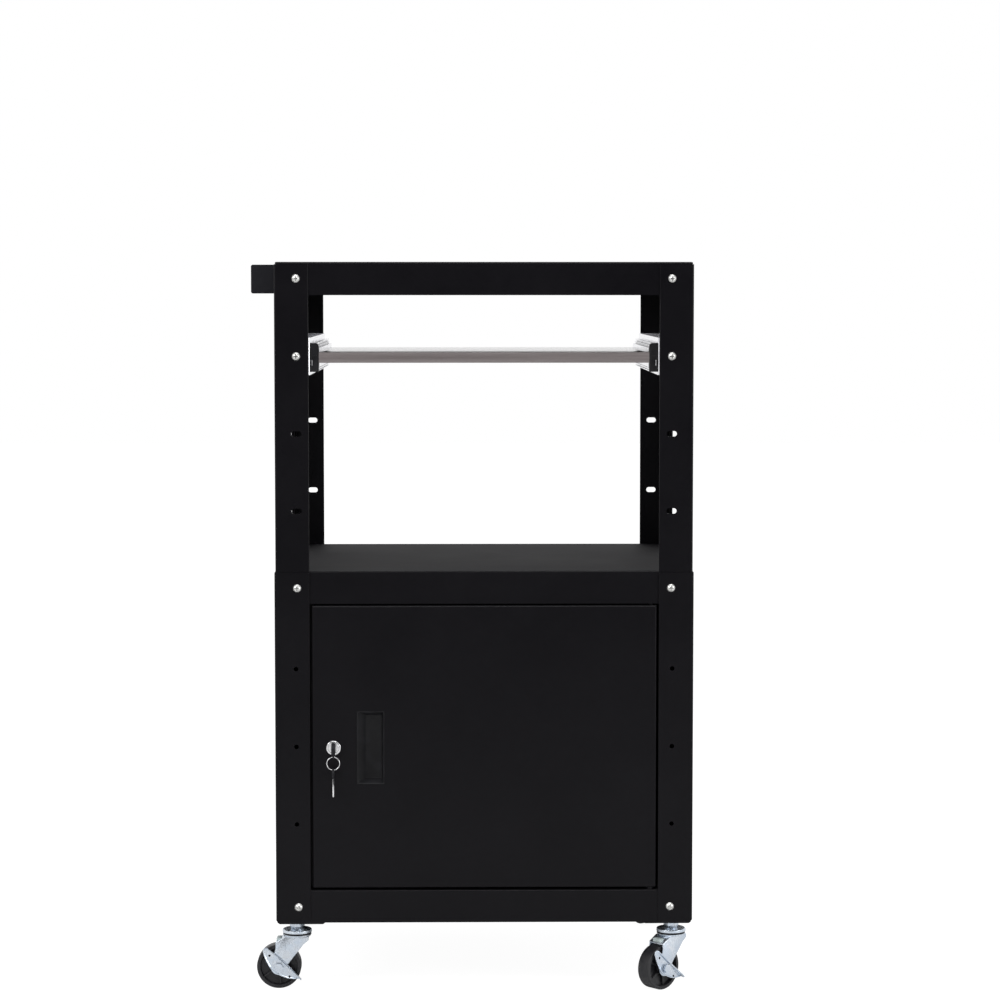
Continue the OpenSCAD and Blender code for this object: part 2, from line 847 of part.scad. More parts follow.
module pull_cup() {
    deep = cup_depth - cup_wall + cup_rim_t;
    half_w = cup_body_w / 2;
    half_h = cup_body_h / 2;
    body_plan = [
        [-half_w, 0], [cup_floor_x_share[0] * cup_w, cup_depth], [cup_floor_x_share[1] * cup_w, cup_depth],
        [half_w, 0]
    ];
    body_side = [
        [0, -half_h], [cup_depth, cup_floor_z_share[0] * cup_h], [cup_depth, cup_floor_z_share[1] * cup_h],
        [0, half_h]
    ];
    color(moulded_black) place() translate([cup_x, door_face_y, lock_z]) difference() {
        union() {
            translate([-cup_w / 2, -cup_rim_t, -cup_h / 2]) cube([cup_w, cup_rim_t, cup_h]);
            tapered_block(body_plan, body_side, cup_h);
        }
        translate([0, -cup_rim_t, 0]) tapered_block(
            [for (p = cup_pocket_x_share) [p[0] * cup_w, p[1] * deep]],
            [for (p = cup_pocket_z_share) [p[1] * deep, p[0] * cup_h]],
            cup_h
        );
    }
}

module door_pivots() {
    color(powder_black) place() translate([pivot_x, pivot_y, 0]) {
        translate([0, 0, door_high - pivot_reach]) cylinder(d = pivot_d, h = pivot_reach + door_gap_top + shelf_t);
        translate([0, 0, mid_flange_z + shelf_t]) cylinder(d = pivot_head_d, h = pivot_head_h);
        translate([0, 0, base_h - shelf_t]) cylinder(d = pivot_d, h = pivot_reach + door_gap_bottom + shelf_t);
        translate([0, 0, base_h - shelf_t - pivot_head_h]) cylinder(d = pivot_head_d, h = pivot_head_h);
        translate([0, 0, base_h]) difference() {
            cylinder(d = pivot_washer_d, h = door_gap_bottom);
            translate([0, 0, -over]) cylinder(d = pivot_d + 2 * run_gap, h = door_gap_bottom + 2 * over);
        }
    }
}

// The folded stop behind the door's free edge, which the lock's cam catches
module lock_strike() {
    high = mid_flange_z - base_h - pass_gap;
    deep = strike_back - post_t;
    x = -cart_w / 2 + post_leg + strike_cover - strike_w;
    color(powder_black) place() translate([x, post_t, base_h]) {
        cube([strike_w - strike_cover - pass_gap, strike_t, high]);
        cube([strike_t, deep, high]);
        translate([0, deep - strike_t, 0]) cube([strike_w, strike_t, high]);
    }
}

// Lock, with its axis along +Y and its origin on the door's face

module at_lock() {
    place() translate([lock_x, door_face_y, lock_z]) children();
}

module along_y(y0, y1, d) {
    translate([0, y0, 0]) rotate([-90, 0, 0]) cylinder(d = d, h = y1 - y0);
}

module lock_barrel() {
    color(bright_zinc) at_lock() difference() {
        union() {
            along_y(-lock_face_h, 0, lock_face_d);
            along_y(0, lock_back, lock_body_d);
        }
        along_y(-lock_face_h - over, lock_back + over, plug_d + 2 * run_gap);
    }
}

module lock_nut() {
    color(zinc) at_lock() translate([0, shelf_t, 0]) rotate([-90, 0, 0])
        hex_nut(lock_nut_d, lock_nut_h, lock_body_d + 2 * run_gap);
}

cam_y = lock_back + pass_gap;

module lock_plug() {
    color(bright_zinc) at_lock() difference() {
        union() {
            along_y(-lock_face_h - plug_proud, cam_y, plug_d);
            translate([-plug_tail / 2, cam_y, -plug_tail / 2]) cube([plug_tail, cam_t, plug_tail]);
        }
        translate([-key_blade_t / 2 - pass_gap, -lock_face_h - plug_proud - over, -key_blade_w / 2 - pass_gap])
            cube([key_blade_t + 2 * pass_gap, blade_in_lock + pass_gap + over, key_blade_w + 2 * pass_gap]);
        along_y(cam_y + cam_t - cam_screw_len - pass_gap, cam_y + cam_t + over, cam_screw_d + 2 * run_gap);
    }
}

module lock_cam() {
    color(zinc) at_lock() translate([0, cam_y, 0]) difference() {
        union() {
            along_y(0, cam_t, cam_w);
            translate([-cam_w / 2, 0, -cam_reach]) cube([cam_w, cam_t, cam_reach]);
        }
        translate([-plug_tail / 2 - run_gap, -over, -plug_tail / 2 - run_gap])
            cube([plug_tail + 2 * run_gap, cam_t + 2 * over, plug_tail + 2 * run_gap]);
    }
}

module cam_screw() {
    color(zinc) at_lock() translate([0, cam_y + cam_t, 0]) {
        along_y(0, cam_screw_head_h, cam_screw_head_d);
        along_y(-cam_screw_len, 0, cam_screw_d);
    }
}

// Keys

blade_front = -lock_face_h - plug_proud - bow_gap - blade_in_bow;

module key_blade() {
    color(bright_zinc) at_lock()
        translate([-key_blade_t / 2, blade_front, -key_blade_w / 2])
            cube([key_blade_t, blade_in_lock + bow_gap + blade_in_bow, key_blade_w]);
}

module disc_x(d, t) {
    translate([-t / 2, 0, 0]) rotate([0, 90, 0]) cylinder(d = d, h = t);
}

module key_bow() {
    color(moulded_black) place() translate([lock_x, bow_y, 0]) difference() {
        union() {
            translate([0, 0, lock_z]) disc_x(key_bow_d, key_bow_t);
            translate([0, 0, tongue_z]) disc_x(2 * tongue_r, tongue_t);
            translate([-tongue_t / 2, -tongue_r, tongue_z]) cube([tongue_t, 2 * tongue_r, lock_z - tongue_z]);
        }
        translate([0, 0, tongue_z]) disc_x(2 * ring_hole_r, key_bow_t);
        translate([
            -key_blade_t / 2 - run_gap, key_bow_d / 2 - blade_in_bow - run_gap,
            lock_z - key_blade_w / 2 - run_gap
        ])
            cube([key_blade_t + 2 * run_gap, blade_in_bow + over, key_blade_w + 2 * run_gap]);
    }
}

module key_ring() {
    color(bright_zinc) place() translate([lock_x, bow_y, ring_z]) rotate([90, 0, 0])
        rotate_extrude() translate([ring_r, 0]) circle(d = ring_wire_d, $fn = 24);
}

spare_blade_top = spare_bow_z;
spare_blade_end = spare_bow_z - spare_bow_d / 2 - key_blade_len;

module spare_key_blade() {
    color(bright_zinc) place() translate([lock_x, bow_y, spare_blade_end])
        translate([-key_blade_t / 2, -key_blade_w / 2, 0])
            cube([key_blade_t, key_blade_w, spare_blade_top - spare_blade_end]);
}

module spare_key_bow() {
    color(moulded_black) place() translate([lock_x, bow_y, 0]) difference() {
        translate([0, 0, spare_bow_z]) disc_x(spare_bow_d, spare_bow_t);
        translate([0, 0, spare_hole_z]) disc_x(2 * ring_hole_r, 2 * spare_bow_t);
        translate([
            -key_blade_t / 2 - run_gap, -key_blade_w / 2 - run_gap,
            spare_bow_z - spare_bow_d / 2 - over
        ])
            cube([
                key_blade_t + 2 * run_gap, key_blade_w + 2 * run_gap,
                spare_bow_d / 2 + over + run_gap
            ]);
    }
}

// Power strip on the left side of the top shelf, its local origin at its front lower edge on the shelf

module at_strip() {
    place() translate([strip_x, strip_setback, strip_top - strip_h]) children();
}

module strip_section(inset) {
    translate([-strip_w + inset, inset])
        rounded_rect(strip_w - 2 * inset, strip_h - 2 * inset, strip_r - inset);
}

module strip_extrude(y0, y1) {
    translate([0, y1, 0]) rotate([90, 0, 0]) linear_extrude(y1 - y0) children();
}

socket_places = [for (i = [0 : outlets - 1]) strip_len - socket_margin - i * outlet_pitch];
switch_place = socket_margin - strip_cap_t;

module strip_opening(y, l, h, r) {
    translate([-strip_w - over, y - l / 2, strip_h / 2 - h / 2]) rotate([90, 0, 90])
        linear_extrude(strip_wall + 2 * over) rounded_rect(l, h, r);
}

module strip_case() {
    color(strip_grey) at_strip() difference() {
        strip_extrude(strip_cap_t, strip_len - strip_cap_t) strip_section(0);
        strip_extrude(strip_cap_t - over, strip_len) strip_section(strip_wall);
        for (y = socket_places)
            strip_opening(y, socket_l + 2 * run_gap, socket_h + 2 * run_gap, socket_r + run_gap);
        strip_opening(switch_place, switch_l + 2 * run_gap, switch_h + 2 * run_gap, strip_wall);
        for (share = screw_shares) {
            translate([-strip_wall - over, share * strip_len, strip_h / 2]) rotate([0, 90, 0])
                cylinder(d = strip_screw_d + 2 * run_gap, h = strip_wall + 2 * over);
        }
    }
}

module strip_end_caps() {
    plug = strip_wall + run_gap;
    color(strip_grey) at_strip() {
        strip_extrude(0, strip_cap_t) strip_section(0);
        strip_extrude(strip_cap_t, strip_cap_t + strip_plug_len) strip_section(plug);
        difference() {
            union() {
                strip_extrude(strip_len - strip_cap_t, strip_len) strip_section(0);
                strip_extrude(strip_len - strip_cap_t - strip_plug_len, strip_len - strip_cap_t)
                    strip_section(plug);
            }
            translate([-strip_w / 2, strip_len, strip_h / 2]) rotate([90, 0, 0])
                translate([0, 0, -over]) cylinder(
                    d = gland_d + 2 * run_gap, h = strip_cap_t + strip_plug_len + 2 * over
                );
        }
    }
}

module strip_sockets() {
    color(moulded_black) at_strip() {
        for (y = socket_places) translate([-strip_w, y, strip_h / 2]) difference() {
            translate([0, -socket_l / 2, -socket_h / 2]) rotate([90, 0, 90])
                linear_extrude(socket_depth) rounded_rect(socket_l, socket_h, socket_r);
            for (s = [-1, 1]) {
                translate([-over, -blade_slot_l / 2 + socket_face_drop, s * blade_slot_gap / 2 - blade_slot_w / 2])
                    cube([blade_slot_depth + over, blade_slot_l, blade_slot_w]);
            }
            translate([-over, -earth_drop, 0]) rotate([0, 90, 0])
                cylinder(d = earth_hole_d, h = blade_slot_depth + over);
        }
        translate([-strip_w, switch_place, strip_h / 2]) difference() {
            translate([0, -switch_l / 2, -switch_h / 2]) cube([socket_depth, switch_l, switch_h]);
            translate([-over, -switch_l / 2 + switch_wall, -switch_h / 2 + switch_wall])
                cube([socket_depth, switch_l - 2 * switch_wall, switch_h - 2 * switch_wall]);
            translate([rocker_pivot_drop, 0, -switch_h / 2 - over])
                cylinder(d = rocker_pin_d + 2 * run_gap, h = switch_h + 2 * over);
        }
    }
}

module rocker_switch() {
    section = [for (p = rocker_section_share) [-p[1] * rocker_l, p[0] * rocker_l]];
    color(moulded_black) at_strip()
        translate([-strip_w + rocker_pivot_drop, switch_place, strip_h / 2]) rotate(rocker_tilt) {
            translate([0, 0, -rocker_h / 2]) linear_extrude(rocker_h) polygon(section);
            translate([0, 0, -rocker_h / 2 - rocker_pin_len])
                cylinder(d = rocker_pin_d, h = rocker_h + 2 * rocker_pin_len);
        }
}

module strip_gland() {
    color(moulded_black) at_strip() translate([-strip_w / 2, strip_len, strip_h / 2]) rotate([-90, 0, 0])
        difference() {
            union() {
                translate([0, 0, -strip_cap_t - strip_plug_len])
                    cylinder(d = gland_d, h = strip_cap_t + strip_plug_len + gland_len);
                cylinder(d = gland_nut_d, h = gland_nut_len, $fn = hex);
            }
            translate([0, 0, -strip_cap_t - strip_plug_len - over])
                cylinder(d = gland_bore_d, h = strip_cap_t + strip_plug_len + gland_len + 2 * over);
        }
}

module strip_screws() {
    color(zinc) at_strip() for (share = screw_shares) {
        translate([0, share * strip_len, strip_h / 2]) rotate([0, 90, 0]) {
            translate([0, 0, shelf_t]) cylinder(d = strip_screw_head_d, h = strip_screw_head_h);
            translate([0, 0, shelf_t - strip_screw_len]) cylinder(d = strip_screw_d, h = strip_screw_len);
        }
    }
}

// Casters, each with its origin where the stem's axis meets the corner plate's underside

module at_caster(side, end, turn) {
    place() translate([
        side * (cart_w / 2 - caster_inset), end > 0 ? cart_d - caster_inset : caster_inset, caster_h
    ])
        rotate(turn) children();
}

module caster_stem() {
    cylinder(d = stem_d, h = plate_t + stem_nut_h + stem_end);
    translate([0, 0, -collar_h]) cylinder(d = collar_d, h = collar_h, $fn = hex);
    translate([0, 0, -cap_z]) cylinder(d1 = neck_d, d2 = neck_top_d, h = neck_h);
    translate([0, 0, -cap_z - cap_h]) rotate_extrude() {
        square([cap_d / 2 - cap_edge_r, cap_h]);
        square([cap_d / 2, cap_h - cap_edge_r]);
        translate([cap_d / 2 - cap_edge_r, cap_h - cap_edge_r]) circle(cap_edge_r);
    }
    translate([0, 0, -kingpin_z]) cylinder(d = kingpin_d, h = kingpin_z - cap_z);
    translate([0, 0, -kingpin_z]) cylinder(d = kingpin_head_d, h = kingpin_head_h);
}

module caster_stems() {
    color(zinc) {
        for (side = [-1, 1], end = [-1, 1]) at_caster(side, end, 0) caster_stem();
    }
}

module fork_leg() {
    outline = [for (p = leg_share) [p[0] * swivel_offset, -fork_z - fork_head_h - p[1] * leg_len]];
    translate([0, fork_out, 0]) rotate([90, 0, 0]) linear_extrude(fork_t) {
        polygon(outline);
        translate([-swivel_offset, -axle_z]) circle(axle_boss_r);
    }
}

module caster_fork() {
    difference() {
        union() {
            translate([0, 0, -fork_z - fork_head_h]) cylinder(d = fork_head_d, h = fork_head_h);
            translate([-bridge_back_share * swivel_offset, -fork_out, -bridge_z])
                cube([
                    (bridge_back_share + bridge_front_share) * swivel_offset, 2 * fork_out, fork_plate_t
                ]);
            for (s = [-1, 1]) mirror_if(s < 0, [0, 1, 0]) fork_leg();
        }
        translate([0, 0, -bridge_z - over])
            cylinder(d = kingpin_d + 2 * run_gap, h = bridge_z + over);
        translate([-swivel_offset, -fork_out - over, -axle_z]) rotate([-90, 0, 0])
            cylinder(d = axle_d + 2 * run_gap, h = 2 * (fork_out + over));
    }
}

module caster_axle(brake) {
    stack = brake ? lever_t + 2 * pass_gap : 0;
    translate([-swivel_offset, 0, -axle_z]) {
        along_y(-fork_out - stack, fork_out, axle_d);
        translate([0, fork_out, 0]) rotate([-90, 0, 0]) cylinder(d = axle_head_d, h = axle_head_h, $fn = hex);
        translate([0, -fork_out - stack - axle_head_h, 0]) rotate([-90, 0, 0])
            cylinder(d = axle_head_d, h = axle_head_h, $fn = hex);
    }
}

module caster_fork_at(side, end, turn) {
    color(zinc) at_caster(side, end, turn) caster_fork();
}

module caster_axle_at(side, end, turn) {
    color(bright_zinc) at_caster(side, end, turn) caster_axle(end < 0);
}

module wheel() {
    hub_len = wheel_w + 2 * (fork_side_gap - pass_gap);
    outer = wheel_d / 2;
    inner = outer - rim_depth;
    rotate([90, 0, 0]) {
        rotate_extrude() {
            translate([axle_d / 2 + run_gap, -hub_len / 2]) square([(hub_d - axle_d) / 2 - run_gap, hub_len]);
            translate([axle_d / 2 + run_gap, -web_t / 2]) square([inner - axle_d / 2, web_t]);
            translate([inner, -wheel_w / 2]) square([rim_depth - tread_r, wheel_w]);
            translate([inner, -wheel_w / 2 + tread_r]) square([rim_depth, wheel_w - 2 * tread_r]);
            for (s = [-1, 1]) translate([outer - tread_r, s * (wheel_w / 2 - tread_r)]) circle(tread_r);
        }
        for (i = [0 : rib_count - 1]) rotate(i * 360 / rib_count) {
            translate([hub_d / 2 - rib_t / 2, -rib_t / 2, -wheel_w / 2 + rib_t])
                cube([inner - hub_d / 2 + rib_t, rib_t, wheel_w - 2 * rib_t]);
        }
    }
}

module wheel_at(side, end, turn) {
    color(moulded_black) at_caster(side, end, turn) translate([-swivel_offset, 0, -axle_z]) wheel();
}

module brake_lever() {
    rotate([90, 0, 0]) rotate(-lever_angle) difference() {
        union() {
            linear_extrude(lever_t) polygon(lever_share * lever_len);
            translate([lever_toe_share[0] * lever_len, lever_toe_share[1] * lever_len - lever_t, 0])
                cube([toe_len_share * lever_len, lever_t, toe_reach]);
        }
        translate([0, 0, -over]) cylinder(d = axle_d + 2 * run_gap, h = lever_t + 2 * over);
        for (share = lever_hole_share) {
            translate([share[0] * lever_len, share[1] * lever_len, -over])
                cylinder(d = lever_hole_d, h = lever_t + 2 * over);
        }
    }
}

module brake_lever_at(side, turn) {
    color(zinc) at_caster(side, -1, turn)
        translate([-swivel_offset, -fork_out - pass_gap, -axle_z]) brake_lever();
}

top_shelf();
middle_shelf();
bottom_shelf();
upper_post_at(-1, -1);  // upper_post_front_left
upper_post_at(1, -1);  // upper_post_front_right
upper_post_at(-1, 1);  // upper_post_back_left
upper_post_at(1, 1);  // upper_post_back_right
lower_post_at(-1, -1);  // lower_post_front_left
lower_post_at(1, -1);  // lower_post_front_right
lower_post_at(-1, 1);  // lower_post_back_left
lower_post_at(1, 1);  // lower_post_back_right
side_panels();
back_panel();
corner_plates();
frame_bolts();
frame_nuts();
tray_brackets();
slide_outers();
slide_rivets();
door_pivots();
lock_strike();
strip_case();
strip_end_caps();
strip_sockets();
strip_gland();
strip_screws();
caster_stems();
rocker_switch();
door_skin();
pull_cup();
lock_barrel();
lock_nut();
lock_plug();
lock_cam();
cam_screw();
key_blade();
key_bow();
key_ring();
spare_key_blade();
spare_key_bow();
tray_board();
slide_inners();
slide_front_caps();
tray_screws();
slide_middles();
slide_ball_cages();
caster_fork_at(-1, -1, turn_front_left);  // caster_fork_front_left
caster_fork_at(1, -1, turn_front_right);  // caster_fork_front_right
caster_fork_at(-1, 1, turn_back_left);  // caster_fork_back_left
caster_fork_at(1, 1, turn_back_right);  // caster_fork_back_right
caster_axle_at(-1, -1, turn_front_left);  // caster_axle_front_left
caster_axle_at(1, -1, turn_front_right);  // caster_axle_front_right
caster_axle_at(-1, 1, turn_back_left);  // caster_axle_back_left
caster_axle_at(1, 1, turn_back_right);  // caster_axle_back_right
wheel_at(-1, -1, turn_front_left);  // wheel_front_left
wheel_at(1, -1, turn_front_right);  // wheel_front_right
wheel_at(-1, 1, turn_back_left);  // wheel_back_left
wheel_at(1, 1, turn_back_right);  // wheel_back_right
brake_lever_at(-1, turn_front_left);  // brake_lever_front_left
brake_lever_at(1, turn_front_right);  // brake_lever_front_right
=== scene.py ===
"""Looks of a rolling projector cart: a black powder-coated steel frame with a pull-out tray, a locked cabinet,
a side power strip and four zinc-plated swivel casters, dressed around its solid model."""

import json
import logging
import math
from abc import ABC, abstractmethod
from dataclasses import dataclass
from enum import Enum
from typing import Callable, Iterable, Sequence, Union

import bpy
from mathutils import Matrix, Vector

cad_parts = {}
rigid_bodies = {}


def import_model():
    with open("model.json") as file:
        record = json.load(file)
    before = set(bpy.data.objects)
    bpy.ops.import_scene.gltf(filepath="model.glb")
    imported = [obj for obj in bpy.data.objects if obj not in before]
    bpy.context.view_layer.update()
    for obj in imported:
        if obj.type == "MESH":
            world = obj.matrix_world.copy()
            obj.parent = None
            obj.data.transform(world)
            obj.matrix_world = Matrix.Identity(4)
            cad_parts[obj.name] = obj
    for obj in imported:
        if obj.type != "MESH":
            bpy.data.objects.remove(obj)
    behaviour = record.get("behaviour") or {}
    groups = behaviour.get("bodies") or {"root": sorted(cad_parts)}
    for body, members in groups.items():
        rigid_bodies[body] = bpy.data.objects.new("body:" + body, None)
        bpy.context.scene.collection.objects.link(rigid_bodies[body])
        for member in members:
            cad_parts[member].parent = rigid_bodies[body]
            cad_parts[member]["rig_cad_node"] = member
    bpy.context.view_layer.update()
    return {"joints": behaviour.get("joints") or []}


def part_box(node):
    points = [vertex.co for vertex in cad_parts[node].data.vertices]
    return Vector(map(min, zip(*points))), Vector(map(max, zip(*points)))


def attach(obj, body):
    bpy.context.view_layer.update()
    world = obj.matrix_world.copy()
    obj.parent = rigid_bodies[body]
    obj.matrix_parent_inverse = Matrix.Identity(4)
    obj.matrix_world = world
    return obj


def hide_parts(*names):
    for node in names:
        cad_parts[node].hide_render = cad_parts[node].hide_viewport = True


LOG = logging.getLogger("projector_cart")
MM = 0.001

WHITE = (1.0, 1.0, 1.0, 1.0)

Colour = tuple[float, float, float]
Point = tuple[float, float, float]


class Slot(Enum):
    """The record's material slots."""

    POWDER = "powder_black"
    STRIP = "strip_shell"
    ZINC = "zinc_plate"
    NICKEL = "bright_nickel"
    MOULDED = "moulded_black"
    WHEEL = "wheel_black"
    LAMINATE = "grey_laminate"


class Axis(Enum):
    """Directions along which a rod can lie."""

    X = (0.0, math.pi / 2, 0.0)
    Y = (math.pi / 2, 0.0, 0.0)
    Z = (0.0, 0.0, 0.0)


# Shader maths


class Value:
    """A socket, or a plain number, that can be used in sums."""

    def __init__(self, graph: "Graph", socket: bpy.types.NodeSocket) -> None:
        """Wraps a socket.

        Args:
            graph: The node graph that the socket is in.
            socket: The output socket.
        """
        self.graph = graph
        self.socket = socket

    def _sum(self, operation: str, first: "Operand", second: "Operand") -> "Value":
        """Adds one Math node.

        Args:
            operation: The Math node's operation.
            first: The first operand.
            second: The second operand.

        Returns:
            The node's output.
        """
        node = self.graph.node("ShaderNodeMath", {"operation": operation}, {0: first, 1: second})
        return Value(self.graph, node.outputs[0])

    def __add__(self, other: "Operand") -> "Value":
        """Adds."""
        return self._sum("ADD", self, other)

    def __radd__(self, other: "Operand") -> "Value":
        """Adds, reflected."""
        return self._sum("ADD", other, self)

    def __sub__(self, other: "Operand") -> "Value":
        """Subtracts."""
        return self._sum("SUBTRACT", self, other)

    def __mul__(self, other: "Operand") -> "Value":
        """Multiplies."""
        return self._sum("MULTIPLY", self, other)

    def most(self, other: "Operand") -> "Value":
        """Takes the larger of two values."""
        return self._sum("MAXIMUM", self, other)


Operand = Union[Value, float]
Feed = Union[Value, float, Sequence[float]]


@dataclass(frozen=True)
class Pattern:
    """A noise pattern: waves per metre, octaves, weight of the finer ones, distortion and stretch."""

    scale: float
    detail: float = 3.0
    rough: float = 0.5
    warp: float = 0.0
    stretch: Point = (1.0, 1.0, 1.0)


class Graph:
    """The node graph of a material or of the world."""

    def __init__(self, owner: Union[bpy.types.Material, bpy.types.World]) -> None:
        """Empties the owner's node tree.

        Args:
            owner: The material or the world.
        """
        owner.use_nodes = True
        self.owner = owner
        self.tree = owner.node_tree
        self.tree.nodes.clear()

    def node(
        self, kind: str, settings: dict[str, object], feeds: dict[Union[str, int], Feed]
    ) -> bpy.types.Node:
        """Adds a node, makes its settings and feeds its sockets.

        Args:
            kind: The node's type.
            settings: Properties that are set first.
            feeds: Values or links by socket.

        Returns:
            The new node.
        """
        made = self.tree.nodes.new(kind)
        for key, value in settings.items():
            setattr(made, key, value)
        for key, value in feeds.items():
            if isinstance(value, Value):
                self.link(value, made, key)
            else:
                made.inputs[key].default_value = value
        return made

    def link(self, value: Value, node: bpy.types.Node, socket: Union[str, int]) -> None:
        """Links a value to one of a node's inputs."""
        self.tree.links.new(value.socket, node.inputs[socket])

    def value(self, node: bpy.types.Node, socket: Union[str, int] = 0) -> Value:
        """Gives one of a node's outputs."""
        return Value(self, node.outputs[socket])

    def noise(self, pattern: Pattern) -> Value:
        """Adds a noise pattern in the object's own coordinates.

        Args:
            pattern: Its settings.

        Returns:
            The noise value, about 0.5 on average.
        """
        source = self.node("ShaderNodeTexCoord", {}, {})
        feeds = {"Vector": self.value(source, "Object"), "Scale": pattern.stretch}
        mapped = self.node("ShaderNodeMapping", {}, feeds)
        feeds = {"Vector": self.value(mapped), "Scale": pattern.scale, "Detail": pattern.detail,
                 "Roughness": pattern.rough, "Distortion": pattern.warp}
        return self.value(self.node("ShaderNodeTexNoise", {}, feeds))

    def upward(self, low: float = 0.985, high: float = 0.999) -> Value:
        """Gives 1 on faces that look up and 0 on all others.

        Args:
            low: The normal's height at which the share starts.
            high: The height at which it is full.

        Returns:
            The share.
        """
        source = self.node("ShaderNodeTexCoord", {}, {})
        parts = self.node("ShaderNodeSeparateXYZ", {}, {"Vector": self.value(source, "Normal")})
        return self.ramp(self.value(parts, "Z"), low, high)

    def ramp(self, value: Value, low: float, high: float) -> Value:
        """Spreads a value between two limits over 0 to 1 and clamps it."""
        feeds = {"Value": value, "From Min": low, "From Max": high, "To Min": 0.0, "To Max": 1.0}
        return self.value(self.node("ShaderNodeMapRange", {"clamp": True}, feeds))

    def mix(self, share: Value, first: Union[Value, Colour], second: Union[Value, Colour]) -> Value:
        """Mixes two colours.

        Args:
            share: Share of the second colour.
            first: The first colour.
            second: The second colour.

        Returns:
            The mixed colour.
        """
        made = self.node("ShaderNodeMix", {"data_type": "RGBA"}, {"Factor": share})
        for index, colour in ((6, first), (7, second)):
            if isinstance(colour, Value):
                self.link(colour, made, index)
            else:
                made.inputs[index].default_value = (*colour, 1.0)
        return self.value(made, 2)

    def blend(self, share: Value, first: bpy.types.Node, second: bpy.types.Node) -> Value:
        """Mixes the shaders of two nodes.

        Args:
            share: Share of the second shader.
            first: The first node.
            second: The second node.

        Returns:
            The mixed shader.
        """
        feeds = {0: share, 1: self.value(first), 2: self.value(second)}
        return self.value(self.node("ShaderNodeMixShader", {}, feeds))


class Shading(Graph):
    """A material's graph around one Principled shader."""

    def __init__(self, name: str) -> None:
        """Starts a material.

        Args:
            name: The material's name.
        """
        super().__init__(bpy.data.materials.new(name))
        self.output = self.node("ShaderNodeOutputMaterial", {}, {})
        self.shader = self.node("ShaderNodeBsdfPrincipled", {}, {})
        self.link(self.value(self.shader), self.output, 0)

    def constants(self, **values: float) -> None:
        """Sets plain numbers on the shader's own sockets, with underscores for spaces."""
        for key, value in values.items():
            self.shader.inputs[key.replace("_", " ")].default_value = value

    def feed(self, socket: str, value: Value) -> None:
        """Links a pattern to a socket of the shader."""
        self.link(value, self.shader, socket)

    def bump(self, height: Value, strength: float, distance: float) -> None:
        """Feeds a height pattern to the shader's normal.

        Args:
            height: The height, from 0 to 1.
            strength: How strongly it shows.
            distance: Depth of the relief in metres.
        """
        made = self.node("ShaderNodeBump", {}, {"Height": height, "Strength": strength, "Distance": distance})
        self.link(self.value(made), self.shader, "Normal")


# Finishes


class Finish(ABC):
    """A surface finish that makes its own material."""

    def material(self, name: str) -> bpy.types.Material:
        """Makes the finish's material.

        Args:
            name: The material's name.

        Returns:
            The material.
        """
        graph = Shading(name)
        self.paint(graph)
        return graph.owner

    @abstractmethod
    def paint(self, graph: Shading) -> None:
        """Adds the finish's nodes to a graph."""


@dataclass(frozen=True)
class PowderCoat(Finish):
    """Black powder coat with a fine orange peel and a little dust."""

    colour: Colour = (0.0030, 0.0027, 0.0038)
    dusty: Colour = (0.0052, 0.0048, 0.0062)
    roughness: float = 0.34
    settled: float = 0.4
    specular: float = 0.12
    cloud: Pattern = Pattern(7.0, 4.0, 0.6, 0.3)
    speck: Pattern = Pattern(900.0, 1.0, 0.4)
    peel: Pattern = Pattern(1500.0, 2.0)
    relief: float = 0.02 * MM

    def paint(self, graph: Shading) -> None:
        """Adds the coat's nodes."""
        cloud, peel = graph.noise(self.cloud), graph.noise(self.peel)
        speck = graph.ramp(graph.noise(self.speck), 0.66, 0.76)
        share = graph.ramp(cloud, 0.35, 0.75) * 0.6 + speck * 0.3
        graph.feed("Base Color", graph.mix(share, self.colour, self.dusty))
        rough = self.roughness + graph.upward() * self.settled
        graph.feed("Roughness", rough + (cloud - 0.5) * 0.14 + (peel - 0.5) * 0.1)
        graph.constants(Specular_IOR_Level=self.specular)
        graph.bump(peel, 0.35, self.relief)


@dataclass(frozen=True)
class ZincPlate(Finish):
    """Bright bluish zinc plate with a soft cloudy sheen and fine drawing lines."""

    colour: Colour = (0.56, 0.63, 0.72)
    warm: Colour = (0.66, 0.70, 0.75)
    roughness: float = 0.26
    cloud: Pattern = Pattern(70.0, 4.0, 0.55, 0.6)
    lines: Pattern = Pattern(1800.0, 2.0, stretch=(1.0, 1.0, 0.04))
    relief: float = 0.03 * MM

    def paint(self, graph: Shading) -> None:
        """Adds the plate's nodes."""
        cloud, lines = graph.noise(self.cloud), graph.noise(self.lines)
        share = graph.ramp(cloud, 0.38, 0.68)
        graph.feed("Base Color", graph.mix(share, self.colour, self.warm))
        graph.feed("Roughness", self.roughness + (cloud - 0.5) * 0.22 + (lines - 0.5) * 0.08)
        graph.constants(Metallic=0.9)
        graph.bump(lines * 0.5 + cloud * 0.5, 0.16, self.relief)


@dataclass(frozen=True)
class Nickel(Finish):
    """Polished nickel with faint rubbing marks."""

    colour: Colour = (0.74, 0.74, 0.75)
    rubbed: Colour = (0.62, 0.62, 0.63)
    roughness: float = 0.16
    marks: Pattern = Pattern(2600.0, 2.0, stretch=(1.0, 0.08, 1.0))
    smear: Pattern = Pattern(160.0, warp=0.4)
    relief: float = 0.02 * MM

    def paint(self, graph: Shading) -> None:
        """Adds the nickel's nodes."""
        marks, smear = graph.noise(self.marks), graph.noise(self.smear)
        graph.feed("Base Color", graph.mix(smear, self.colour, self.rubbed))
        graph.feed("Roughness", self.roughness + (marks - 0.5) * 0.14 + (smear - 0.5) * 0.12)
        graph.constants(Metallic=1.0)
        graph.bump(marks, 0.08, self.relief)


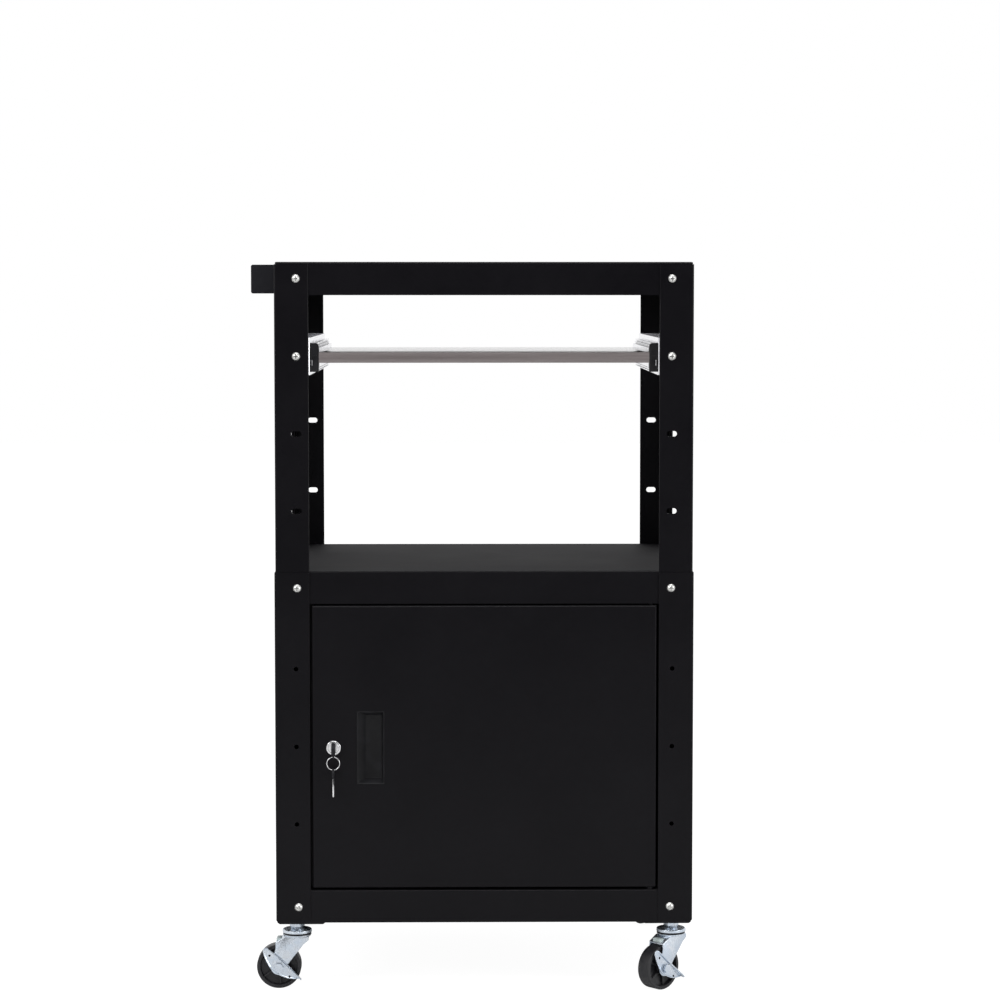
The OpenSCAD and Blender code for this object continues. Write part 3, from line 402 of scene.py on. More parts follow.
@dataclass(frozen=True)
class Moulding(Finish):
    """Moulded black plastic with a fine spark-eroded grain."""

    colour: Colour = (0.005, 0.005, 0.006)
    faded: Colour = (0.018, 0.018, 0.021)
    roughness: float = 0.45
    specular: float = 0.18
    grain: Pattern = Pattern(2200.0, 2.0)
    flow: Pattern = Pattern(40.0, warp=0.8)
    relief: float = 0.03 * MM

    def paint(self, graph: Shading) -> None:
        """Adds the plastic's nodes."""
        grain, flow = graph.noise(self.grain), graph.noise(self.flow)
        graph.feed("Base Color", graph.mix(graph.ramp(flow, 0.4, 0.7) * 0.4, self.colour, self.faded))
        graph.feed("Roughness", self.roughness + (grain - 0.5) * 0.16 + (flow - 0.5) * 0.1)
        graph.constants(Specular_IOR_Level=self.specular)
        graph.bump(grain, 0.22, self.relief)


@dataclass(frozen=True)
class Tread(Finish):
    """Hard black wheel compound with faint turning lines and floor dust."""

    colour: Colour = (0.007, 0.007, 0.009)
    worn: Colour = (0.021, 0.020, 0.023)
    roughness: float = 0.4
    specular: float = 0.45
    dust: Pattern = Pattern(120.0, 4.0, 0.6, 0.5)
    grain: Pattern = Pattern(1600.0, 2.0)
    relief: float = 0.04 * MM

    def paint(self, graph: Shading) -> None:
        """Adds the compound's nodes."""
        dust, grain = graph.noise(self.dust), graph.noise(self.grain)
        share = graph.ramp(dust, 0.42, 0.8)
        graph.feed("Base Color", graph.mix(share, self.colour, self.worn))
        graph.feed("Roughness", self.roughness + share * 0.18 + (grain - 0.5) * 0.1)
        graph.constants(Specular_IOR_Level=self.specular)
        graph.bump(grain * 0.7 + dust * 0.3, 0.2, self.relief)


@dataclass(frozen=True)
class Laminate(Finish):
    """Grey wood-look laminate with straight grain along the board's width."""

    light: Colour = (0.185, 0.163, 0.162)
    dark: Colour = (0.105, 0.090, 0.089)
    roughness: float = 0.3
    specular: float = 0.4
    coat: float = 1.0
    coat_roughness: float = 0.16
    streak: Pattern = Pattern(9.0, 5.0, 0.62, 0.25, (0.5, 14.0, 30.0))
    pore: Pattern = Pattern(60.0, 3.0, 0.6, stretch=(0.6, 30.0, 42.0))
    plank: Pattern = Pattern(6.0, 2.0, stretch=(0.25, 3.0, 3.0))
    relief: float = 0.02 * MM

    def paint(self, graph: Shading) -> None:
        """Adds the laminate's nodes."""
        streak, pore, plank = (graph.noise(pattern) for pattern in (self.streak, self.pore, self.plank))
        share = graph.ramp(streak, 0.36, 0.66) * 0.6 + graph.ramp(pore, 0.45, 0.7) * 0.25 + plank * 0.15
        graph.feed("Base Color", graph.mix(share, self.light, self.dark))
        graph.feed("Roughness", self.roughness + (pore - 0.5) * 0.2)
        graph.constants(
            Specular_IOR_Level=self.specular, Coat_Weight=self.coat, Coat_Roughness=self.coat_roughness
        )
        graph.bump(pore * 0.6 + streak * 0.4, 0.08, self.relief)


class Palette:
    """All the cart's materials, made once."""

    def __init__(self) -> None:
        """Makes the materials."""
        self.powder = PowderCoat().material("powder_black")
        self.strip = PowderCoat(
            colour=(0.012, 0.012, 0.0145), dusty=(0.017, 0.017, 0.020), roughness=0.3, specular=0.2,
            peel=Pattern(2400.0, 2.0)
        ).material("strip_shell")
        self.zinc = ZincPlate().material("zinc_plate")
        self.slide_zinc = ZincPlate(
            colour=(0.84, 0.84, 0.89), warm=(0.92, 0.92, 0.94), roughness=0.18,
            cloud=Pattern(30.0, 4.0, 0.55, 0.6)
        ).material("slide_zinc")
        self.nickel = Nickel().material("bright_nickel")
        self.moulded = Moulding().material("moulded_black")
        self.key_black = Moulding(colour=(0.009, 0.009, 0.011), roughness=0.5).material("key_black")
        self.bolt = ZincPlate(
            colour=(0.54, 0.54, 0.53), warm=(0.64, 0.64, 0.62), cloud=Pattern(260.0, 4.0, 0.55, 0.6)
        ).material("bolt_zinc")
        self.tread = Tread().material("wheel_black")
        self.laminate = Laminate().material("grey_laminate")
        self.shoe = Moulding(colour=(0.52, 0.60, 0.60), roughness=0.35).material("shoe_nylon")
        # Light grey for the release tabs: a painted glint on each lever.
        self.tab_grey = Moulding(colour=(0.30, 0.30, 0.31), roughness=0.4).material("tab_grey")


# Modelling


class Blank:
    """A mesh piece that is shaped in edit mode."""

    def __init__(self, obj: bpy.types.Object) -> None:
        """Takes an object as the piece.

        Args:
            obj: The mesh object.
        """
        self.obj = obj

    @staticmethod
    def release() -> None:
        """Leaves edit mode and deselects everything."""
        if bpy.context.object is not None and bpy.context.object.mode != "OBJECT":
            bpy.ops.object.mode_set(mode="OBJECT")
        bpy.ops.object.select_all(action="DESELECT")

    def activate(self) -> None:
        """Makes the piece the active object and selects it alone."""
        self.release()
        self.obj.select_set(True)
        bpy.context.view_layer.objects.active = self.obj

    @classmethod
    def _take(cls, name: str) -> "Blank":
        """Names the primitive that was just added and applies its place."""
        obj = bpy.context.object
        obj.name = name
        obj.data.name = name
        bpy.ops.object.transform_apply(location=True, rotation=True, scale=True)
        return cls(obj)

    @classmethod
    def block(cls, name: str, low: Sequence[float], high: Sequence[float]) -> "Blank":
        """Starts from a cube between two corners.

        Args:
            name: The piece's name.
            low: The lowest corner in metres.
            high: The highest corner in metres.

        Returns:
            The piece.
        """
        cls.release()
        a, b = Vector(low), Vector(high)
        bpy.ops.mesh.primitive_cube_add(size=1.0, location=(a + b) / 2)
        bpy.context.object.scale = b - a
        return cls._take(name)

    @classmethod
    def rod(
        cls, name: str, middle: Sequence[float], radius: float, length: float, axis: Axis, sides: int = 64
    ) -> "Blank":
        """Starts from a cylinder.

        Args:
            name: The piece's name.
            middle: Its middle in metres.
            radius: Its radius.
            length: Its length.
            axis: The direction it lies along.
            sides: Number of sides.

        Returns:
            The piece.
        """
        cls.release()
        bpy.ops.mesh.primitive_cylinder_add(
            vertices=sides, radius=radius, depth=length, location=middle, rotation=axis.value
        )
        return cls._take(name)

    @classmethod
    def plate(cls, name: str, outline: Sequence[Sequence[float]], thickness: Sequence[float]) -> "Blank":
        """Draws an outline point by point, fills it and extrudes it.

        Args:
            name: The piece's name.
            outline: The outline's points in metres.
            thickness: The direction and depth of the extrusion.

        Returns:
            The piece.
        """
        cls.release()
        points = [Vector(p) for p in outline]
        bpy.ops.mesh.primitive_plane_add(size=MM, location=points[0])
        piece = cls._take(name)
        piece.edit("VERT")
        bpy.ops.mesh.select_all(action="SELECT")
        bpy.ops.mesh.merge(type="CENTER")
        for before, after in zip(points, points[1:]):
            bpy.ops.mesh.extrude_region_move(TRANSFORM_OT_translate={"value": after - before})
        bpy.ops.mesh.select_all(action="SELECT")
        bpy.ops.mesh.edge_face_add()
        bpy.ops.mesh.extrude_region_move(TRANSFORM_OT_translate={"value": Vector(thickness)})
        return piece.outward()

    def edit(self, kind: str = "FACE") -> None:
        """Goes to edit mode with one kind of selection.

        Args:
            kind: VERT, EDGE or FACE.
        """
        if bpy.context.object is not self.obj or self.obj.mode != "EDIT":
            self.activate()
            bpy.ops.object.mode_set(mode="EDIT")
        bpy.ops.mesh.select_mode(type=kind)

    def faces(self, test: Callable[[Vector, Vector], bool]) -> "Blank":
        """Selects faces by their middle and normal.

        Args:
            test: Says whether a face is taken.

        Returns:
            The piece, in edit mode.
        """
        self.edit("FACE")
        bpy.ops.mesh.select_all(action="DESELECT")
        bpy.ops.object.mode_set(mode="OBJECT")
        for face in self.obj.data.polygons:
            face.select = test(face.center, face.normal)
        bpy.ops.object.mode_set(mode="EDIT")
        return self

    def edges(self, test: Callable[[Vector, Vector], bool]) -> "Blank":
        """Selects edges by their two ends.

        Args:
            test: Says whether an edge is taken.

        Returns:
            The piece, in edit mode.
        """
        self.edit("EDGE")
        bpy.ops.mesh.select_all(action="DESELECT")
        bpy.ops.object.mode_set(mode="OBJECT")
        points = self.obj.data.vertices
        for edge in self.obj.data.edges:
            edge.select = test(points[edge.vertices[0]].co, points[edge.vertices[1]].co)
        bpy.ops.object.mode_set(mode="EDIT")
        return self

    def inset(self, width: float, depth: float = 0.0) -> "Blank":
        """Insets the selected faces.

        Args:
            width: Width of the inset.
            depth: How far it rises.

        Returns:
            The piece.
        """
        bpy.ops.mesh.inset(thickness=width, depth=depth)
        return self

    def push(self, way: Sequence[float]) -> "Blank":
        """Extrudes the selected faces along a vector."""
        bpy.ops.mesh.extrude_region_move(TRANSFORM_OT_translate={"value": Vector(way)})
        return self

    def shift(self, way: Sequence[float]) -> "Blank":
        """Moves what is selected."""
        bpy.ops.transform.translate(value=Vector(way))
        return self

    def scale(self, factors: Sequence[float], middle: Sequence[float]) -> "Blank":
        """Scales what is selected about a point."""
        bpy.ops.transform.resize(value=Vector(factors), center_override=Vector(middle))
        return self

    def round_edges(self, width: float, segments: int = 3) -> "Blank":
        """Bevels the selected edges."""
        bpy.ops.mesh.bevel(offset=width, segments=segments, affect="EDGES", clamp_overlap=True)
        return self

    def soften(self, width: float, segments: int = 2, angle: float = 35.0) -> "Blank":
        """Bevels all sharp edges with a modifier and applies it.

        Args:
            width: The bevel's width.
            segments: Its number of segments.
            angle: The least angle of a sharp edge in degrees.

        Returns:
            The piece.
        """
        self.activate()
        bevel = self.obj.modifiers.new("edges", "BEVEL")
        bevel.width = width
        bevel.segments = segments
        bevel.limit_method = "ANGLE"
        bevel.angle_limit = math.radians(angle)
        bevel.harden_normals = False
        bpy.ops.object.modifier_apply(modifier=bevel.name)
        return self

    def drill(self, cutter: "Blank") -> "Blank":
        """Takes another piece out of this one and deletes it.

        Args:
            cutter: The piece that is taken out.

        Returns:
            The piece.
        """
        self.activate()
        cut = self.obj.modifiers.new("cut", "BOOLEAN")
        cut.operation = "DIFFERENCE"
        cut.solver = "EXACT"
        cut.object = cutter.obj
        bpy.ops.object.modifier_apply(modifier=cut.name)
        bpy.data.objects.remove(cutter.obj, do_unlink=True)
        return self

    def join(self, others: Iterable["Blank"]) -> "Blank":
        """Joins other pieces into this one.

        Args:
            others: The other pieces.

        Returns:
            The piece.
        """
        self.release()
        for other in others:
            other.obj.select_set(True)
        self.obj.select_set(True)
        bpy.context.view_layer.objects.active = self.obj
        bpy.ops.object.join()
        return self

    def outward(self) -> "Blank":
        """Turns all faces outwards."""
        self.edit("FACE")
        bpy.ops.mesh.select_all(action="SELECT")
        bpy.ops.mesh.normals_make_consistent(inside=False)
        bpy.ops.object.mode_set(mode="OBJECT")
        return self

    def copy(self, name: str, place: Matrix) -> "Blank":
        """Copies the piece with its own mesh to another place.

        Args:
            name: The copy's name.
            place: Where the copy goes.

        Returns:
            The copy.
        """
        self.release()
        mesh = self.obj.data.copy()
        mesh.name = name
        mesh.transform(place)
        obj = bpy.data.objects.new(name, mesh)
        bpy.context.scene.collection.objects.link(obj)
        return Blank(obj)

    def discard(self) -> None:
        """Deletes the piece."""
        self.release()
        bpy.data.objects.remove(self.obj, do_unlink=True)

    def dress(
        self, material: bpy.types.Material, slot: Slot, body: str, nodes: Sequence[str] = ()
    ) -> "Blank":
        """Finishes the piece: shading, material, body and the nodes that it stands for.

        Args:
            material: The material.
            slot: The record's slot; not used.
            body: The body that it rides on.
            nodes: The nodes that it replaces.

        Returns:
            The piece.
        """
        self.activate()
        bpy.ops.object.shade_smooth_by_angle(angle=math.radians(32.0))
        self.obj.data.materials.clear()
        self.obj.data.materials.append(material)
        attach(self.obj, body)
        if nodes:
            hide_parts(*nodes)
        LOG.info("%s: %d faces", self.obj.name, len(self.obj.data.polygons))
        return self


def arc(
    middle: tuple[float, float], radius: float, start: float, end: float, steps: int
) -> list[tuple[float, float]]:
    """Gives points along an arc.

    Args:
        middle: Its centre.
        radius: Its radius.
        start: First angle in degrees.
        end: Last angle in degrees.
        steps: Number of spaces between points.

    Returns:
        The points.
    """
    turns = [math.radians(start + (end - start) * i / steps) for i in range(steps + 1)]
    return [(middle[0] + radius * math.cos(t), middle[1] + radius * math.sin(t)) for t in turns]


def facing(x: float, y: float, z: float, least: float = 0.9) -> Callable[[Vector, Vector], bool]:
    """Gives a test for faces that look in a direction.

    Args:
        x: The direction's x.
        y: The direction's y.
        z: The direction's z.
        least: The least cosine between normal and direction.

    Returns:
        The test, of a face's middle and normal.
    """
    way = Vector((x, y, z))
    return lambda centre, normal: normal.dot(way) > least


def limits(node: str) -> tuple[Vector, Vector]:
    """Gives the two corners of a node's box in metres."""
    low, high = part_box(node)
    return Vector(low), Vector(high)


# Sub-assemblies


class Assembly(ABC):
    """A sub-assembly that builds and dresses its pieces."""

    @abstractmethod
    def build(self, palette: Palette) -> list[Blank]:
        """Builds the pieces.

        Args:
            palette: The cart's materials.

        Returns:
            The pieces.
        """


@dataclass
class Frame(Assembly):
    """The solid model's own nodes, dressed by what they are made of."""

    powder: tuple[str, ...] = ("shelf", "post", "panel", "plates", "door_skin", "door_pivots", "lock_strike")
    strip: tuple[str, ...] = ("strip_case", "strip_end_caps")
    moulded: tuple[str, ...] = (
        "strip_sockets", "strip_gland", "rocker_switch", "key_bow", "pull_cup", "front_caps"
    )
    nickel: tuple[str, ...] = ("lock_barrel", "lock_plug", "key_blade", "key_ring")
    bolts: tuple[str, ...] = ("frame_bolts",)
    slides: tuple[str, ...] = (
        "slide_outers", "slide_middles", "slide_inners", "tray_brackets", "slide_ball_cages"
    )
    wheels: tuple[str, ...] = ("wheel_",)
    board: tuple[str, ...] = ("tray_board",)

    def build(self, palette: Palette) -> list[Blank]:
        """Gives every node its material.

        Args:
            palette: The cart's materials.

        Returns:
            No new pieces.
        """
        groups = (
            (self.powder, palette.powder), (self.strip, palette.strip), (self.moulded, palette.moulded),
            (self.nickel, palette.nickel), (self.bolts, palette.bolt), (self.slides, palette.slide_zinc),
            (self.wheels, palette.tread), (self.board, palette.laminate),
        )
        for name, node in self.nodes().items():
            chosen = next((mat for words, mat in groups if any(word in name for word in words)), palette.zinc)
            node.data.materials.clear()
            node.data.materials.append(chosen)
        LOG.info("%d nodes dressed", len(self.nodes()))
        return []

    @staticmethod
    def nodes() -> dict[str, bpy.types.Object]:
        """Gives the solid model's mesh objects by name."""
        return {o["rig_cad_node"]: o for o in bpy.data.objects if o.type == "MESH" and "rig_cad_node" in o}


@dataclass
class Caster(Assembly):
    """Four swivel casters, modelled once about the stem's axis and copied."""

    joints: list[dict[str, object]]
    offset: float = 26.5 * MM
    radius: float = 32.5 * MM
    width: float = 21 * MM
    rim: float = 5 * MM
    rim_slope: float = 1.2 * MM
    rim_round: float = 3 * MM
    recess: float = 7 * MM
    rib_count: int = 6
    rib_turn: float = 25.0
    rib_half: float = 1.1 * MM
    rib_drop: float = 2.4 * MM
    hub: float = 8 * MM
    hub_slope: float = 1.0 * MM
    hub_chamfer: float = 0.6 * MM
    hub_half: float = 12.2 * MM
    bore: float = 4.05 * MM
    leg_in: float = 12.5 * MM
    leg_out: float = 14.5 * MM
    crown_low: float = 75.5 * MM
    crown_high: float = 77.5 * MM
    race_high: float = 82.3 * MM
    race_radius: float = 21.4 * MM
    # Height and radius of the black ring that paints the shadow in the raceway's gap.
    gap_shade_high: float = 2.4 * MM
    gap_shade_radius: float = 20.6 * MM
    lever_tilt: float = 41.6
    lever_in: float = 14.8 * MM
    lever_out: float = 16.3 * MM
    corners: tuple[str, ...] = ("front_left", "front_right", "back_left", "back_right")

    def wheel(self) -> Blank:
        """Shapes a wheel: a rounded tread, recessed sides, a hub and six ribs.

        Returns:
            The wheel, about the stem's axis.
        """
        middle = (-self.offset, 0.0, self.radius)
        half = self.width / 2
        wheel = Blank.rod("wheel", middle, self.radius, self.width, Axis.Y, 96)

        def side(centre: Vector, normal: Vector) -> bool:
            """Takes the two round sides."""
            return abs(normal.y) > 0.9 and abs(centre.x + self.offset) < MM and abs(centre.z - self.radius) < MM

        wheel.faces(side).inset(self.rim)
        wheel.inset(self.rim_slope, -self.recess * 0.85)
        wheel.inset(self.radius - self.rim - self.hub - 3.4 * MM, -self.recess * 0.15)
        wheel.inset(self.hub_slope, self.hub_half - half + self.recess - self.hub_chamfer)
        wheel.inset(self.hub_slope, self.hub_chamfer)
        wheel.inset(self.hub - 0.8 * MM - self.bore)
        wheel.edges(lambda a, b: self._on_rim(a, half) and self._on_rim(b, half)).round_edges(self.rim_round, 5)
        bore = Blank.rod("bore", middle, self.bore, 3 * self.width, Axis.Y, 48)
        wheel.outward().drill(bore)
        low = (self.hub - MM, -half + self.rib_drop, -self.rib_half)
        high = (self.radius - self.rim + 0.4 * MM, half - self.rib_drop, self.rib_half)
        rib = Blank.block("rib", low, high).soften(0.5 * MM)
        ribs = []
        for step in range(self.rib_count):
            turn = math.radians(360 / self.rib_count * step + self.rib_turn)
            place = Matrix.Translation(Vector(middle)) @ Matrix.Rotation(turn, 4, "Y")
            ribs.append(rib.copy(f"rib_{step}", place))
        rib.discard()
        return wheel.join(ribs)

    def _on_rim(self, point: Vector, half: float) -> bool:
        """Says whether a point lies on the wheel's outer edge."""
        reach = math.hypot(point.x + self.offset, point.z - self.radius)
        return abs(reach - self.radius) < 0.1 * MM and abs(abs(point.y) - half) < 0.1 * MM

    def leg_outline(self) -> list[tuple[float, float]]:
        """Gives a fork leg's outline in the plane of the wheel, in millimetres."""
        foot = arc((-26.5, 32.5), 12.0, 8.0, -180.0, 12)
        return [(17.8, 77.5), (17.8, 73.0), (14.6, 70.0), (9.8, 66.0), (0.5, 54.0), (-12.0, 38.0), *foot,
                (-37.0, 40.0), (-33.2, 52.0), (-31.4, 60.0), (-31.0, 69.0), (-17.0, 77.5)]

    def fork(self) -> Blank:
        """Shapes a stamped fork: two legs, a crown that slopes down behind, and the raceway dish.

        Returns:
            The fork, about the stem's axis.
        """
        parts = []
        for side in (-1, 1):
            outline = [(x * MM, side * self.leg_in, z * MM) for x, z in self.leg_outline()]
            leg = Blank.plate("leg", outline, (0.0, side * (self.leg_out - self.leg_in), 0.0))
            parts.append(leg.soften(0.55 * MM, 3, 40.0))
        crown = Blank.block(
            "crown", (-17 * MM, -self.leg_out + 0.3 * MM, self.crown_low),
            (17.8 * MM, self.leg_out - 0.3 * MM, self.crown_high + 0.02 * MM)
        )
        crown.faces(facing(-1, 0, 0)).push((-14 * MM, 0.0, -8.5 * MM))
        crown.outward().soften(0.6 * MM, 3, 30.0)
        top = self.race_high - self.gap_shade_high
        dish = Blank.rod(
            "dish", (0.0, 0.0, (self.crown_high + top) / 2 - 0.2 * MM), self.race_radius,
            top - self.crown_high + 0.4 * MM, Axis.Z, 96
        )
        dish.faces(facing(0, 0, -1)).scale((0.93, 0.93, 1.0), (0.0, 0.0, self.crown_high))
        dish.edges(lambda a, b: min(a.z, b.z) > top - 0.1 * MM).round_edges(0.7 * MM, 4)
        dish.faces(facing(0, 0, 1, 0.999)).inset(2.4 * MM).inset(0.4 * MM, 0.2 * MM)
        dish.outward()
        return parts[0].join([parts[1], crown, dish])

    def seal(self) -> Blank:
        """Shapes a black ring between the raceway and its cap, a painted shadow in the gap between them."""
        middle = (0.0, 0.0, self.race_high - self.gap_shade_high / 2)
        seal = Blank.rod("seal", middle, self.gap_shade_radius, self.gap_shade_high, Axis.Z, 96)
        seal.edges(lambda a, b: abs(a.z - b.z) < 0.01 * MM).round_edges(0.4 * MM, 3)
        return seal.outward().drill(Blank.rod("seal_bore", middle, 12 * MM, 10 * MM, Axis.Z, 64))

    def lever_point(self, along: float, across: float, out: float) -> Vector:
        """Turns lever coordinates into the caster's own.

        Args:
            along: Millimetres along the lever, towards the toe.
            across: Millimetres across it, upwards.
            out: Metres away from the wheel's middle plane.

        Returns:
            The point.
        """
        tilt = math.radians(self.lever_tilt)
        x = along * math.cos(tilt) + across * math.sin(tilt)
        z = -along * math.sin(tilt) + across * math.cos(tilt)
        return Vector((-self.offset + x * MM, -out, self.radius + z * MM))

    def lever(self) -> Blank:
        """Shapes a stamped brake lever with a bent-out upper edge and a toe.

        Returns:
            The lever, about the stem's axis.
        """
        shape = [
            (-35, 8.5), (-35.2, 5.5), (-33.5, 2.4), (-28, -1.6), (-20, -5.4), (-12, -8.4), (-4, -10.2),
            (4, -9.8), (12, -7.2), (20, -4.2), (27, 0.5), (32, 5.0), (35, 8.5), (33, 9.6), (24, 10),
            (10, 11.5), (-2, 12), (-12, 11.6), (-24, 10.8), (-32, 10.2),
        ]
        outline = [self.lever_point(u, v, self.lever_in) for u, v in shape]
        plate = Blank.plate("lever", outline, (0.0, self.lever_in - self.lever_out, 0.0))
        plate.faces(facing(0, -1, 0)).inset(1.3 * MM).inset(0.7 * MM, -0.55 * MM)
        plate.outward().soften(0.25 * MM, 2, 40.0)
        for along, across in ((-21.7, 3.9), (21.0, 0.0)):
            middle = self.lever_point(along, across, self.lever_out)
            plate.drill(Blank.rod("hole", middle, 1.75 * MM, 8 * MM, Axis.Y, 32))
        shape = [
            (-31, 0.0), (-31, 0.8), (-20, 2.2), (-4, 3.0), (12, 3.6), (22, 5.0), (30, 6.6), (35, 7.0),
            (36.6, 5.2), (36.4, 2.0), (35, 0.0),
        ]
        start = self.lever_out - 0.3 * MM
        low = [self.lever_point(u, 8.2 if u > 30 else 9.0, start + out * MM) for u, out in shape]
        up = self.lever_point(0.0, 1.5, 0.0) - self.lever_point(0.0, 0.0, 0.0)
        return plate.join([Blank.plate("flange", low, up).soften(0.5 * MM, 3, 40.0)])

    def shoe(self) -> Blank:
        """Shapes the pale brake shoe that sits over the wheel, between the fork's legs."""
        shoe = Blank.block("shoe", (-30 * MM, -8.5 * MM, 66.4 * MM), (-22 * MM, 8.5 * MM, 74.2 * MM))
        shoe.faces(facing(0, 0, 1)).inset(1.6 * MM, 0.8 * MM)
        return shoe.outward().soften(1.1 * MM, 4, 30.0)

    def build(self, palette: Palette) -> list[Blank]:
        """Builds the four casters' wheels, forks and levers.

        Args:
            palette: The cart's materials.

        Returns:
            The pieces.
        """
        braked = (self.lever(), self.shoe())
        kinds = (
            (self.wheel(), "tread_wheel_", palette.tread, Slot.WHEEL, "wheel_", "wheel_"),
            (self.fork(), "stamped_fork_", palette.zinc, Slot.ZINC, "fork_", "caster_fork_"),
            # A black ring of painted shadow in the gap under each raceway's cap.
            (self.seal(), "race_seal_", palette.moulded, Slot.MOULDED, "fork_", ""),
            (braked[0], "stamped_lever_", palette.zinc, Slot.ZINC, "brake_", "brake_lever_"),
            (braked[1], "brake_shoe_", palette.shoe, Slot.MOULDED, "fork_", ""),
        )
        pieces = []
        for corner in self.corners:
            place = Matrix.Translation(self.stem(corner)) @ Matrix.Rotation(self.turn(corner), 4, "Z")
            for source, name, material, slot, body, node in kinds:
                if corner.startswith("front") or source not in braked:
                    nodes = [node + corner] if node else []
                    piece = source.copy(name + corner, place)
                    pieces.append(piece.dress(material, slot, body + corner, nodes))
        for kind in kinds:
            kind[0].discard()
        return pieces

    def stem(self, corner: str) -> Vector:
        """Gives a stem's axis from the record's swivel joint."""
        joint = next(j for j in self.joints if j["name"] == "swivel_" + corner)
        return Vector((joint["pos_m"][0], joint["pos_m"][1], 0.0))

    def turn(self, corner: str) -> float:
        """Gives a caster's direction in radians from its wheel's axle."""
        axle = next(j for j in self.joints if j["name"] == "spin_" + corner)["axis"]
        return math.atan2(-axle[0], axle[1])


@dataclass
class PullCup(Assembly):
    """The recessed pull in the door: a slim rim and a slanted pocket."""

    rim: float = 0.9 * MM
    lead: float = 0.6 * MM
    left_slope: float = 10.8 * MM
    right_slope: float = 2.7 * MM
    end_slope: float = 5.7 * MM
    depth: float = 13.6 * MM
    flange: float = 1.2 * MM
    step: float = 1.1 * MM
    softness: float = 0.7 * MM

    def build(self, palette: Palette) -> list[Blank]:
        """Builds the cup.

        Args:
            palette: The cart's materials.

        Returns:
            The cup.
        """
        low, high = limits("pull_cup")
        face = low.y
        cup = Blank.block("moulded_pull_cup", low, (high.x, face + self.flange, high.z))
        cup.faces(facing(0, 1, 0)).inset(self.step).push((0.0, high.y - face - self.flange, 0.0))
        cup.faces(facing(0, -1, 0)).inset(self.rim).inset(self.lead, -self.lead)
        cup.push((0.0, self.depth - self.lead, 0.0))
        middle = (low + high) / 2
        half = (high.x - low.x) / 2 - self.rim - self.lead
        tall = (high.z - low.z) / 2 - self.rim - self.lead
        shrink_x = 1.0 - (self.left_slope + self.right_slope) / (2 * half)
        shrink_z = 1.0 - self.end_slope / tall
        cup.scale((shrink_x, 1.0, shrink_z), (middle.x, face, middle.z))
        cup.shift(((self.left_slope - self.right_slope) / 2, 0.0, 0.0))
        cup.outward().soften(self.softness, 3, 12.0)
        return [cup.dress(palette.moulded, Slot.MOULDED, "door", ["pull_cup"])]


